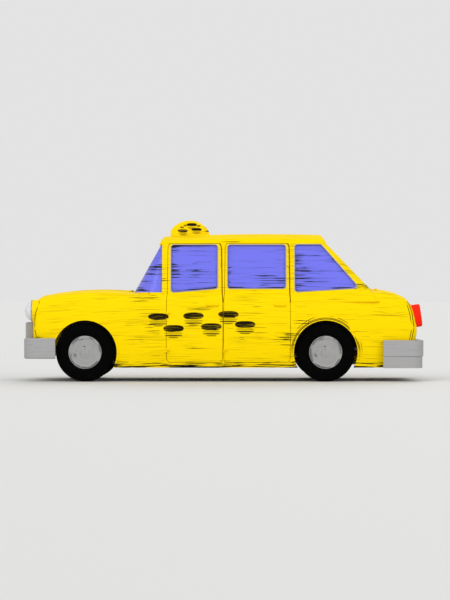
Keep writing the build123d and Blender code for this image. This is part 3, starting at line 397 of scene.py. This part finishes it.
def ovals_and_painted_shadows(name, centres, half_length, half_height):
    """A node group that gives 1 inside any of the ovals, and on three thin strokes of painted shadow below
    each.
    """
    group, _, given = new_group(name, (), marks_out)
    x, _, z = object_axes(group)
    ragged = stretched_noise(group, (6.0, 40.0, 170.0), 3.0, 0.6)
    waver = product(group, difference(group, ragged, 0.5), oval_fray)
    strands = stretched_noise(group, (5.0, 1.0, 95.0), 2.0, 0.5)
    strands = between(group, strands, strand_from, strand_full)
    ink = difference(group, 1.0, product(group, strands, strand_gap))
    marks = None
    for centre_x, centre_z in centres:
        for drop, length_share, height_share, darkness in oval_and_shadow_strokes:
            level = centre_z - drop * half_height
            off = math_step(group, "DIVIDE", difference(group, x, centre_x), length_share * half_length)
            up = math_step(group, "DIVIDE", difference(group, z, level), height_share * half_height)
            blunt = math_step(group, "POWER", math_step(group, "ABSOLUTE", off), oval_blunt)
            low_side = math_step(group, "MAXIMUM", difference(group, oval_frayed_below, up), 0.0)
            edge = total(group, blunt, product(group, up, up), product(group, waver, low_side))
            outside = between(group, edge, oval_core, oval_rim)
            inside = math_step(group, "SUBTRACT", 1.0, outside, clamp=True)
            marks = strongest(group, marks, product(group, inside, darkness))
    group.links.new(product(group, marks, ink), given.inputs["Marks"])
    return group


def wavered(tree, value, stretch, bend):
    """A value that drifts from place to place by up to half the bend either way."""
    waver = stretched_noise(tree, stretch, 2.0, 0.5)
    return total(tree, value, product(tree, difference(tree, waver, 0.5), bend))


def broken_line(tree, off, half_width, breaks, broken, soft_edge=2.0, soft_break=0.06):
    """1 on a line, none past its edges, and none where the brush ran dry."""
    beyond = between(tree, math_step(tree, "ABSOLUTE", off), half_width, half_width * soft_edge)
    inked = between(tree, breaks, broken, broken + soft_break)
    return product(tree, difference(tree, 1.0, beyond), inked)


def about_wheel(tree, centre_x):
    """How far behind, above and away from a wheel's middle a place lies."""
    x, _, z = object_axes(tree)
    along = difference(tree, x, centre_x)
    up = difference(tree, z, axle_height)
    square = total(tree, product(tree, along, along), product(tree, up, up))
    return along, up, math_step(tree, "SQRT", square)


def arch_shade_marks(name, centre_x, lines):
    """A node group that gives 1 on broken lines of painted shade that run round the top of a wheel arch.
    """
    group, _, given = new_group(name, (), marks_out)
    _, up, reach = about_wheel(group, centre_x)
    bent = wavered(group, reach, (3.0, 1.0, 3.0), line_wander)
    breaks = stretched_noise(group, (5.0, 1.0, 5.0), 1.0, 0.5)
    above = between(group, up, arch_foot, arch_full)
    marks = None
    for radius, half_width, broken in lines:
        line = broken_line(group, difference(group, bent, radius), half_width, breaks, broken)
        marks = strongest(group, marks, product(group, line, above))
    group.links.new(marks, given.inputs["Marks"])
    return group


def rim_marks(name, centre_x, lines):
    """A node group that gives nearly 1 on broken lines just inside the edge of a wheel cover."""
    group, _, given = new_group(name, (), marks_out)
    _, _, reach = about_wheel(group, centre_x)
    bent = wavered(group, reach, (6.0, 1.0, 6.0), rim_wander)
    breaks = stretched_noise(group, (9.0, 1.0, 9.0), 2.0, 0.5)
    marks = None
    for radius, half_width, broken in lines:
        off = difference(group, bent, radius)
        line = broken_line(group, off, half_width, breaks, broken, soft_edge=2.2, soft_break=0.08)
        marks = strongest(group, marks, product(group, line, rim_ink))
    group.links.new(marks, given.inputs["Marks"])
    return group


def contour_marks(name, strokes):
    """A node group that gives 1 on broken upright lines that bow along the car in the side view."""
    group, _, given = new_group(name, (), marks_out)
    x, _, z = object_axes(group)
    bent = wavered(group, x, (4.0, 1.0, 6.0), line_wander)
    breaks = stretched_noise(group, (9.0, 1.0, 7.0), 1.0, 0.5)
    marks = None
    for line_x, bow, middle, low, high, half_width, broken in strokes:
        up = difference(group, z, middle)
        off = difference(group, difference(group, bent, product(group, up, up, bow)), line_x)
        line = broken_line(group, off, half_width, breaks, broken)
        from_foot = between(group, z, low, low + line_end)
        to_head = between(group, z, high, high - line_end)
        marks = strongest(group, marks, product(group, line, from_foot, to_head))
    group.links.new(marks, given.inputs["Marks"])
    return group


def add_marks(material, marks_group, colour):
    """Paints marks on outward faces over whatever colour a material has so far."""
    tree = material.node_tree
    marks = tree.nodes.new("ShaderNodeGroup")
    marks.node_tree = marks_group
    facing = tree.nodes.new("ShaderNodeSeparateXYZ")
    tree.links.new(tree.nodes.new("ShaderNodeTexCoord").outputs["Normal"], facing.inputs["Vector"])
    _, y, _ = object_axes(tree)
    outward = product(tree, facing.outputs["Y"], math_step(tree, "SIGN", y))
    outside = between(tree, outward, facing_from, facing_full)
    shown = product(tree, marks.outputs["Marks"], outside)
    coloured = shader_of(material).inputs["Base Color"]
    painted = blend_colour(tree, shown, coloured.links[0].from_socket, (*colour, 1))
    tree.links.new(painted, coloured)


# Painted body. Pressed steel panels, hung or bolted on the cab's frame and painted matt yellow; the dark
# primer shows between the brush marks, and the flank is darker towards the bottom, along the sills.
cab_yellow = (1.0, 0.715, 0.0)
# The dark primer also colours the lines of painted shade round the rear arch.
primer_and_shade = (0.010, 0.008, 0.004)
# The black of the check ovals is also the colour of the painted shadow strokes under them.
check_and_shadow_black = (0.009, 0.006, 0.002)
sill_foot = 0.175
sill_head = 0.30
sill_darkening = 1.15

top_paint = brushed_material(
    "brushed_top_paint", cab_yellow, primer_and_shade,
    cover=0.70, hairlines=0.55, roughness=0.75, specular=0.01, lay=top_lay,
)
dress(top_paint, "roof", "cowl", "bonnet", "boot_lid")
end_paint = brushed_material(
    "brushed_end_paint", cab_yellow, primer_and_shade, cover=0.70, hairlines=0.55, roughness=0.65, specular=0.04
)
dress(end_paint, "nose_panel", "rear_panels")
flank_paint = brushed_material(
    "brushed_flank_paint", cab_yellow, primer_and_shade,
    cover=0.682, hairlines=0.62, roughness=0.65, specular=0.04, lay=crowned_lay,
)
dress(
    flank_paint, "body_sides", "front_wings", "front_left_door", "front_right_door",
    "rear_left_door", "rear_right_door",
)
flank_tree = flank_paint.node_tree
_, _, flank_height = object_axes(flank_tree)
# Darker towards the bottom: below the sill's head more of the dark ground shows between the brush marks.
above_sill = between(flank_tree, flank_height, sill_foot, sill_head)
sill_darker = product(flank_tree, difference(flank_tree, 1.0, above_sill), sill_darkening)
flank_tree.links.new(sill_darker, wear_of(flank_paint))

# Flank checks. A row of dark ovals runs along each side, in two lines that are out of step: the common
# mark of a cab; thin strokes of painted shadow lie under each oval. Thin broken lines follow the body's
# two ends, and lines of painted shade follow the rear wheel's arch.

# End lines: place along the car, bow, its middle height, foot, head, half width, how broken.
edge_lines = contour_marks("edge_lines", (
    (-2.222, 0.9, 0.70, 0.50, 0.97, 0.0026, 0.30),
    (-2.196, 0.9, 0.70, 0.54, 0.95, 0.0018, 0.46),
    (2.232, -0.9, 0.66, 0.46, 0.97, 0.0030, 0.34),
    (2.206, -0.9, 0.66, 0.46, 0.93, 0.0026, 0.40),
))
check_rows = (
    (-0.768, 0.763),
    (-0.356, 0.772),
    (0.052, 0.790),
    (-0.588, 0.626),
    (-0.147, 0.647),
    (0.249, 0.673),
)
# Each oval comes with three thin strokes of painted shadow under it.
flank_checks_and_shadows = ovals_and_painted_shadows("flank_checks_and_shadows", check_rows, half_length=0.121, half_height=0.040)
# Arch lines, painted shade at the edges of the arch's lip: radius about the wheel, half width, how broken.
rear_arch_shade_lines = arch_shade_marks("rear_arch_shade_lines", wheel_x["rear"], (
    (0.391, 0.0030, 0.30),
    (0.404, 0.0024, 0.38),
    (0.428, 0.0020, 0.48),
))
add_marks(flank_paint, edge_lines, primer_and_shade)
add_marks(flank_paint, flank_checks_and_shadows, check_and_shadow_black)
# The lines round the rear arch are painted shade along the edges of its lip.
add_marks(flank_paint, rear_arch_shade_lines, primer_and_shade)

# Roof sign. A blown shell of thin yellow plastic with a rounded top, stuck down on the roof. It carries
# three dark ovals on each face, with a few short strokes between them, and thin strokes of painted shadow
# under each oval and stroke.
sign_wear = 0.25
check_places = ((-0.385, 1.862), (-0.494, 1.788), (-0.328, 1.804))
stroke_places = ((-0.501, 1.833), (-0.463, 1.856), (-0.304, 1.849))

sign_plastic = brushed_material(
    "sign_plastic", cab_yellow, primer_and_shade, cover=0.68, hairlines=0.5, roughness=0.50, specular=0.08
)
wear_of(sign_plastic).default_value = sign_wear
# Each oval and stroke on the sign comes with thin strokes of painted shadow under it.
sign_checks_and_shadows = ovals_and_painted_shadows("sign_checks_and_shadows", check_places, half_length=0.062, half_height=0.019)
sign_strokes_and_shadows = ovals_and_painted_shadows("sign_strokes_and_shadows", stroke_places, half_length=0.024, half_height=0.006)
add_marks(sign_plastic, sign_checks_and_shadows, check_and_shadow_black)
add_marks(sign_plastic, sign_strokes_and_shadows, check_and_shadow_black)
dress(sign_plastic, "roof_sign")

# Windows. Toughened glass with a strong lavender tint, set in the doors and between the pillars. The tint
# is brushed on too, and each side window is darker along its front edge and along its foot.
tint = (0.200, 0.212, 1.0)
tint_ground = (0.008, 0.008, 0.04)
front_edge_darkening = 0.58
foot_darkening = 0.9
foot_band = 0.035
foot_full = 0.008
# Side windows: front edge, length of its fade, rear edge, foot at the front, climb to the rear.
window_spans = (
    (-0.618, 0.16, -0.06, 1.050, 0.0849),
    (0.046, 0.14, 0.74, 1.096, 0.0),
    (0.836, 0.20, 1.62, 1.056, 0.0614),
)

window_glass = brushed_material(
    "lavender_glass", tint, tint_ground,
    cover=0.66, hairlines=0.6, roughness=0.15, bump=0.0001, transmission=0.15,
)
shader_of(window_glass).inputs["IOR"].default_value = 1.45
glass_tree = window_glass.node_tree
glass_x, _, glass_z = object_axes(glass_tree)
darkened_glass = None
for front_edge, fade, rear_edge, foot, climb in window_spans:
    after = between(glass_tree, glass_x, front_edge - 0.012, front_edge - 0.002)
    before = between(glass_tree, glass_x, rear_edge + 0.01, rear_edge)
    front_part = between(glass_tree, glass_x, front_edge + fade, front_edge)
    run = difference(glass_tree, glass_x, front_edge)
    sill_line = total(glass_tree, product(glass_tree, run, climb), foot)
    above = difference(glass_tree, glass_z, sill_line)
    low_part = between(glass_tree, above, foot_band, foot_full)
    # How much darker the glass is here: along the front edge and along the foot.
    thin = strongest(
        glass_tree,
        product(glass_tree, front_part, front_edge_darkening),
        product(glass_tree, low_part, foot_darkening),
    )
    darkened_glass = strongest(glass_tree, darkened_glass, product(glass_tree, thin, after, before))
glass_tree.links.new(darkened_glass, wear_of(window_glass))
dress(
    window_glass, "front_left_window", "front_right_window", "rear_left_window",
    "rear_right_window", "fixed_windows",
)

# Lamps. Pressed steel cases with a grey rim hold domed frosted lenses at the front; the tail lamps
# are moulded in red plastic, with flutes inside.
flute_depth = 0.002


def add_flutes(material, direction, scale, strength):
    """Gives a moulding a row of fine flutes across a direction."""
    tree = material.node_tree
    wave = tree.nodes.new("ShaderNodeTexWave")
    wave.bands_direction = direction
    wave.inputs["Scale"].default_value = scale
    tree.links.new(object_place(tree), wave.inputs["Vector"])
    add_relief(material, wave.outputs["Fac"], flute_depth, strength)


lamp_rim = brushed_material(
    "lamp_rim_grey", (0.36, 0.36, 0.37), (0.02, 0.02, 0.02), cover=0.70, hairlines=0.5, roughness=0.4
)
dress(lamp_rim, "headlamp_cases")
lens_glass = plain_material(
    "frosted_lens", (0.79, 0.78, 0.80), roughness=0.25, coat=0.3, transmission=0.06
)
add_flutes(lens_glass, "Y", scale=22.0, strength=0.5)
dress(lens_glass, "headlamp_lenses")
tail_red = plain_material(
    "tail_lamp_red", (0.93, 0.016, 0.001), roughness=0.3, coat=0.03, specular=0.12
)
add_flutes(tail_red, "Z", scale=18.0, strength=0.4)
dress(tail_red, "tail_lamps")

# Bumpers and grille. The bumpers are folded steel in grey paint with dark brush lines; the grille
# is a frame of polished bars riveted behind the nose.
bumper_grey = brushed_material(
    "bumper_grey", (0.392, 0.388, 0.392), (0.05, 0.05, 0.05),
    cover=0.76, hairlines=0.2, roughness=0.6, bump=0.0005, specular=0.1,
)
dress(bumper_grey, "front_bumper", "rear_bumper")
grille_metal = brushed_material(
    "polished_bars", (0.62, 0.62, 0.64), (0.10, 0.10, 0.10),
    cover=0.74, hairlines=0.4, roughness=0.18, bump=0.0001, specular=0.5, metallic=1.0,
)
dress(grille_metal, "grille")

# Wheels. Steel rims behind a full grey cover with a shallow dome, pressed and painted. The cover
# turns with the wheel, its paint is dragged round in streaks, and a broken line runs inside its edge.
turn_stretch = 0.5
rim_black = (0.02, 0.02, 0.02)
rim_lines = ((0.183, 0.0034, 0.40), (0.171, 0.0020, 0.49))


def round_lay(centre_x):
    """Brush coordinates for a wheel: strokes run round its middle."""

    def lay(tree):
        """Turns the place round the wheel's middle into angle and radius."""
        along, up, reach = about_wheel(tree, centre_x)
        turned = math_step(tree, "ARCTAN2", up, along)
        return joined_vector(tree, product(tree, turned, turn_stretch), 0.0, reach)

    return lay


for axle_name, axle_x in wheel_x.items():
    cover_grey = brushed_material(
        f"{axle_name}_cover_grey", (0.345, 0.345, 0.345), (0.05, 0.05, 0.05),
        cover=0.74, hairlines=0.35, roughness=0.45, lay=round_lay(axle_x),
    )
    add_marks(cover_grey, rim_marks(f"{axle_name}_rim", axle_x, rim_lines), rim_black)
    dress(cover_grey, f"{axle_name}_left_wheel", f"{axle_name}_right_wheel")

# Grained finish. Rubber, underseal, castings, moulded trim and vinyl have a fine grain that is
# lighter on its crests, where it wears.
grain_contrast = 0.9
grain_relief = 0.6

grain_group, grain_in, grain_out = new_group(
    "fine_grain",
    (("Size", "NodeSocketFloat", 400.0),),
    (("Height", "NodeSocketFloat"), ("Shade", "NodeSocketFloat")),
)
grain_noise = grain_group.nodes.new("ShaderNodeTexNoise")
grain_noise.inputs["Detail"].default_value = 4.0
grain_group.links.new(object_place(grain_group), grain_noise.inputs["Vector"])
grain_group.links.new(grain_in.outputs["Size"], grain_noise.inputs["Scale"])
grain_group.links.new(grain_noise.outputs["Fac"], grain_out.inputs["Height"])
grain_shade = product(grain_group, grain_noise.outputs["Fac"], grain_contrast)
grain_group.links.new(grain_shade, grain_out.inputs["Shade"])


def grained_material(name, colour, worn_colour, size, roughness, depth, metallic=0.0, specular=0.5):
    """A material with a fine moulded or cast grain, lighter where it is worn."""
    material = plain_material(name, colour, roughness, metallic=metallic, specular=specular)
    tree = material.node_tree
    grain = tree.nodes.new("ShaderNodeGroup")
    grain.node_tree = grain_group
    grain.inputs["Size"].default_value = size
    shade = blend_colour(tree, grain.outputs["Shade"], (*colour, 1), (*worn_colour, 1))
    tree.links.new(shade, shader_of(material).inputs["Base Color"])
    add_relief(material, grain.outputs["Height"], depth, grain_relief)
    return material


# Mesh steps. Tyres, window strips, pulls and pads are closed skins drawn through rows of points;
# each rides on the body that carries it.


def close_rows(mesh, rows, ring=False):
    """Faces from each closed row of points to the next; a ring also joins its last to its first."""
    pairs = list(zip(rows, rows[1:]))
    if ring:
        pairs.append((rows[-1], rows[0]))
    for here, there in pairs:
        for step in range(len(here)):
            after = (step + 1) % len(here)
            mesh.faces.new((here[step], here[after], there[after], there[step]))
    if not ring:
        mesh.faces.new(list(reversed(rows[0])))
        mesh.faces.new(rows[-1])
    bmesh.ops.recalc_face_normals(mesh, faces=mesh.faces)


def mesh_data(mesh, name, material, smooth=True):
    """The finished mesh of a piece, in its material."""
    data = bpy.data.meshes.new(name)
    mesh.to_mesh(data)
    mesh.free()
    for face in data.polygons:
        face.use_smooth = smooth
    data.materials.append(material)
    return data


def add_piece(name, data, body):
    """A new piece that rides on a body."""
    piece = bpy.data.objects.new(name, data)
    scene.collection.objects.link(piece)
    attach(piece, body)
    return piece


def bent_corner(start, corner, end, steps):
    """Points on the arc that rounds a corner off, from one side to the next."""
    shares = [step / steps for step in range(steps + 1)]
    return [start.lerp(corner, share).lerp(corner.lerp(end, share), share) for share in shares]


# Tyres. Black rubber with a road tread: three plain ribs between four grooves, and slotted
# shoulder blocks. Each replaces the plain ring of the same size.
tyre_outer = 0.345
tread_inset = 0.0005
tread_crown = 0.0044
tread_half = 0.064
groove_depth = 0.007
slot_depth = 0.8 * groove_depth
side_slot_depth = 0.25 * groove_depth
shoulder_from = 0.043
shoulder_radius = 0.333
block_count = 64
block_stations = (0.0, 0.66, 0.68, 0.98)
slot_stations = (0.68, 0.98)
sidewall = (
    (-0.062, 0.1783),
    (-0.068, 0.196),
    (-0.074, 0.209),
    (-0.0755, 0.212),
    (-0.079, 0.222),
    (-0.083, 0.240),
    (-0.0849, 0.262),
    (-0.083, 0.288),
    (-0.0775, 0.310),
    (-0.0745, 0.322),
    (-0.0695, 0.334),
)
tread_edges = (0.0640, 0.0420, 0.0415, 0.0360, 0.0355, 0.0130, 0.0125, 0.0070, 0.0065)
groove_bands = ((0.0358, 0.0417), (0.0068, 0.0127))


def tread_radius(across):
    """Radius of the uncut tread at a distance from the tyre's middle."""
    return tyre_outer - tread_inset - tread_crown * (across / tread_half) ** 2


def tread_cut(across, radius, is_tread, in_slot):
    """How deep the tread is cut at a place, by its grooves and by the shoulder's slots."""
    if in_slot and abs(across) > shoulder_from and (is_tread or radius > shoulder_radius):
        return slot_depth if is_tread else side_slot_depth
    if is_tread and any(low < abs(across) < high for low, high in groove_bands):
        return groove_depth
    return 0.0


def tyre_mesh(name):
    """A tyre about the X axis, its tread cut by grooves and shoulder slots."""
    lateral = [(across, radius, False) for across, radius in sidewall]
    lateral += [(-edge, tread_radius(edge), True) for edge in tread_edges]
    lateral += [(-across, radius, is_tread) for across, radius, is_tread in reversed(lateral)]
    mesh = bmesh.new()
    rows = []
    for block in range(block_count):
        for station in block_stations:
            angle = (block + station) / block_count * 2 * math.pi
            row = []
            for across, radius, is_tread in lateral:
                cut_radius = radius - tread_cut(across, radius, is_tread, station in slot_stations)
                spot = (across, cut_radius * math.cos(angle), cut_radius * math.sin(angle))
                row.append(mesh.verts.new(spot))
            rows.append(row)
    close_rows(mesh, rows, ring=True)
    return mesh_data(mesh, name, rubber)


rubber = grained_material(
    "tyre_rubber", (0.0008, 0.0008, 0.0008), (0.0025, 0.0025, 0.0025),
    size=60, roughness=0.88, depth=0.0006, specular=0.025,
)
for axle_name in wheel_x:
    for side_name in ("left", "right"):
        corner_name = f"{axle_name}_{side_name}"
        ring_low, ring_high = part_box(f"{corner_name}_tyre")
        middle = (Vector(ring_low) + Vector(ring_high)) / 2
        tyre_data = tyre_mesh(f"{corner_name}_road_tyre")
        tyre_data.transform(Matrix.Translation(middle) @ Matrix.Rotation(math.radians(90), 4, "Z"))
        road_tyre = add_piece(f"{corner_name}_road_tyre", tyre_data, f"{corner_name}_wheel")
        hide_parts(f"{corner_name}_tyre")

# Window trim. Each side window is edged by a thin rolled strip of pale alloy, which lies on the
# leaning side of the cabin.
trim_metal = grained_material(
    "pale_trim", (0.30, 0.30, 0.36), (0.42, 0.42, 0.47),
    size=120, roughness=0.4, depth=0.0002, metallic=0.6,
)
cabin_foot = (0.940, 0.802)
cabin_head = (1.628, 0.734)
window_corner = 0.032
strip_profile = (
    (-0.0010, -0.003),
    (-0.0006, 0.0022),
    (0.0022, 0.0040),
    (0.0060, 0.0040),
    (0.0088, 0.0018),
    (0.0090, -0.003),
)
front_outline = [(-0.618, 1.050), (-0.076, 1.096), (-0.076, 1.606), (-0.618, 1.606)]
rear_outline = [(0.046, 1.096), (0.724, 1.096), (0.724, 1.606), (0.046, 1.606)]
quarter_outline = [(0.836, 1.056), (1.585, 1.102), (1.140, 1.610), (0.836, 1.610)]


def cabin_side(height):
    """Distance of the cabin's side from the middle at a height."""
    share = (height - cabin_foot[0]) / (cabin_head[0] - cabin_foot[0])
    return cabin_foot[1] + share * (cabin_head[1] - cabin_foot[1])


def soft_corners(points, radius, steps=6):
    """A closed outline with its corners rounded to a radius."""
    made = []
    for index, corner in enumerate(points):
        here = Vector(corner)
        before = Vector(points[index - 1]) - here
        after = Vector(points[(index + 1) % len(points)]) - here
        back = radius / math.tan(before.angle(after) / 2)
        start = here + before.normalized() * back
        end = here + after.normalized() * back
        made += bent_corner(start, here, end, steps)
    return made


def window_strip(name, points, side, body):
    """A rolled strip round a side window, lying on the cabin's side."""
    path = soft_corners(points, window_corner)
    mesh = bmesh.new()
    rows = []
    for index, point in enumerate(path):
        run = (path[(index + 1) % len(path)] - path[index - 1]).normalized()
        outward = Vector((run.y, -run.x))
        row = []
        for off, stand in strip_profile:
            spot = point + outward * off
            row.append(mesh.verts.new((spot.x, side * (cabin_side(spot.y) + stand), spot.y)))
        rows.append(row)
    close_rows(mesh, rows, ring=True)
    add_piece(name, mesh_data(mesh, name, trim_metal), body)


# Door pulls. Each door has a painted pull below its window: a bent bar, oval in section, that
# stands off the panel on two feet.
pull_length = 0.150
pull_stand = 0.030
pull_sunk = 0.006
pull_height = 0.900
bar_half_thick = 0.0045
bar_half_high = 0.0085
foot_flare = 1.25
foot_share = 0.1
bar_squareness = 6
bar_fullness = 1.25
pull_stations = 24
pull_sides = 10


def door_pull(name, x, y, side, body):
    """A bent bar that stands off the door on two feet."""
    mesh = bmesh.new()
    rows = []
    for station in range(pull_stations + 1):
        t = station / pull_stations
        along = (t - 0.5) * pull_length
        bow = min(1.0, (1 - abs(2 * t - 1) ** bar_squareness) * bar_fullness)
        lift = pull_stand * bow - pull_sunk
        flare = 1.0 if foot_share < t < 1 - foot_share else foot_flare
        row = []
        for turn in range(pull_sides):
            angle = 2 * math.pi * turn / pull_sides
            row.append(mesh.verts.new((
                x + along,
                side * (y + lift + bar_half_thick * flare * math.cos(angle)),
                pull_height + bar_half_high * flare * math.sin(angle),
            )))
        rows.append(row)
    close_rows(mesh, rows)
    add_piece(name, mesh_data(mesh, name, end_paint), body)


for side_name, side in (("left", -1), ("right", 1)):
    window_strip(f"front_{side_name}_window_trim", front_outline, side, f"front_{side_name}_door")
    window_strip(f"rear_{side_name}_window_trim", rear_outline, side, f"rear_{side_name}_door")
    window_strip(f"quarter_{side_name}_window_trim", quarter_outline, side, "car")
    door_pull(f"front_{side_name}_pull", -0.135, 0.8562, side, f"front_{side_name}_door")
    door_pull(f"rear_{side_name}_pull", 0.655, 0.8420, side, f"rear_{side_name}_door")

# Underside. Chassis, floor, axles and tank carry black underseal; springs, shaft, pipe and tie rod
# are bare steel gone dull; the engine block is cast iron.
underseal = grained_material(
    "underseal", (0.012, 0.012, 0.012), (0.05, 0.048, 0.045), size=90, roughness=0.8, depth=0.0012
)
dress(
    underseal, "chassis_rails", "chassis_crossmembers", "floor_pan", "front_axle", "rear_axle",
    "fuel_tank", "knuckle_left", "knuckle_right", "radiator",
)
dull_steel = grained_material(
    "dull_steel", (0.22, 0.22, 0.23), (0.42, 0.40, 0.38),
    size=140, roughness=0.45, depth=0.0003, metallic=1.0,
)
dress(dull_steel, "leaf_springs", "propeller_shaft", "exhaust", "tie_rod")
cast_iron = grained_material(
    "cast_iron", (0.06, 0.065, 0.07), (0.16, 0.15, 0.14),
    size=160, roughness=0.6, depth=0.0008, metallic=0.6,
)
dress(cast_iron, "engine")

# Cabin trim. Dashboard, shelf, column and wheel rim are moulded or covered in black.
black_trim = grained_material(
    "black_trim", (0.012, 0.012, 0.013), (0.05, 0.05, 0.05), size=500, roughness=0.55, depth=0.0003
)
dress(black_trim, "dashboard", "parcel_shelf", "steering_column", "steering_wheel")

# Seats. Two sprung benches in pleated black vinyl, each on a boxed base. The pads are sewn in
# channels that run front to back, and roll over at the ends.
vinyl = grained_material(
    "pleated_vinyl", (0.010, 0.009, 0.009), (0.05, 0.045, 0.04), size=320, roughness=0.42, depth=0.0004
)
pleat_width = 0.11
pleat_swell = 0.007
pleat_fullness = 0.6
pleat_stations = 6
seam_least = 0.05
end_roll = 0.06
end_size = 0.80
corner_share = 0.32
front_bench_half = 0.655
front_base_half = 0.64
rear_bench_half = 0.545
rear_base_half = 0.54
tunnel_half = 0.158
base_bevel = 0.008


def rounded_outline(corners_xz, steps=5):
    """A closed outline with each corner rounded by a short arc of points."""
    made = []
    for index, corner in enumerate(corners_xz):
        here = Vector(corner)
        before = Vector(corners_xz[index - 1])
        after = Vector(corners_xz[(index + 1) % len(corners_xz)])
        made += bent_corner(here.lerp(before, corner_share), here, here.lerp(after, corner_share), steps)
    return made


def pleated_pad(name, corners_xz, half_width):
    """A pad that follows an outline in the side view, sewn into channels along the car."""
    outline = rounded_outline(corners_xz)
    middle = sum(outline, Vector((0, 0))) / len(outline)
    width = 2 * half_width
    stations = max(1, round(width / pleat_width)) * pleat_stations
    mesh = bmesh.new()
    rows = []
    for station in range(stations + 1):
        t = station / stations
        y = -half_width + width * t
        phase = (station % pleat_stations) / pleat_stations
        puff = math.sin(math.pi * phase) ** pleat_fullness if phase else 0.0
        edge = min(t, 1 - t) * width / end_roll
        roll = math.sqrt(max(0.0, 1 - (1 - min(edge, 1.0)) ** 2))
        row = []
        for point in outline:
            away = point - middle
            seam = pleat_swell * (1 - puff) / max(away.length, seam_least)
            size = end_size + (1 - end_size) * roll - seam
            row.append(mesh.verts.new((middle.x + away.x * size, y, middle.y + away.y * size)))
        rows.append(row)
    close_rows(mesh, rows)
    pad = add_piece(name, mesh_data(mesh, name, vinyl), "car")
    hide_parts("seats")


def boxed_base(name, corners_xz, half_width):
    """The covered box under a seat, with the tunnel's place left open."""
    mesh = bmesh.new()
    for low, high in ((-half_width, -tunnel_half), (tunnel_half, half_width)):
        near = [mesh.verts.new((x, low, z)) for x, z in corners_xz]
        far = [mesh.verts.new((x, high, z)) for x, z in corners_xz]
        mesh.faces.new(near)
        mesh.faces.new(list(reversed(far)))
        for step in range(len(corners_xz)):
            after = (step + 1) % len(corners_xz)
            mesh.faces.new((near[after], near[step], far[step], far[after]))
    bmesh.ops.recalc_face_normals(mesh, faces=mesh.faces)
    bmesh.ops.bevel(mesh, geom=list(mesh.edges), offset=base_bevel, segments=2, affect="EDGES")
    base = add_piece(name, mesh_data(mesh, name, vinyl, smooth=False), "car")
    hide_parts("seats")


pleated_pad(
    "front_cushion",
    [(-0.488, 0.568), (-0.488, 0.605), (-0.440, 0.639), (-0.180, 0.610), (-0.150, 0.568)],
    front_bench_half,
)
pleated_pad(
    "front_backrest",
    [(-0.185, 0.620), (-0.112, 1.050), (-0.062, 1.083), (-0.024, 1.040), (-0.064, 0.620)],
    front_bench_half,
)
boxed_base(
    "front_seat_base",
    [(-0.470, 0.346), (-0.470, 0.568), (-0.075, 0.568), (-0.085, 0.346)],
    front_base_half,
)
pleated_pad(
    "rear_cushion",
    [(0.472, 0.568), (0.472, 0.605), (0.530, 0.639), (0.875, 0.604), (0.900, 0.568)],
    rear_bench_half,
)
pleated_pad(
    "rear_backrest",
    [(0.890, 0.610), (0.992, 1.000), (1.055, 1.009), (1.077, 0.960), (1.077, 0.610)],
    rear_bench_half,
)
boxed_base(
    "rear_seat_base",
    [(0.485, 0.346), (0.485, 0.568), (0.920, 0.568), (0.907, 0.542), (0.776, 0.346)],
    rear_base_half,
)
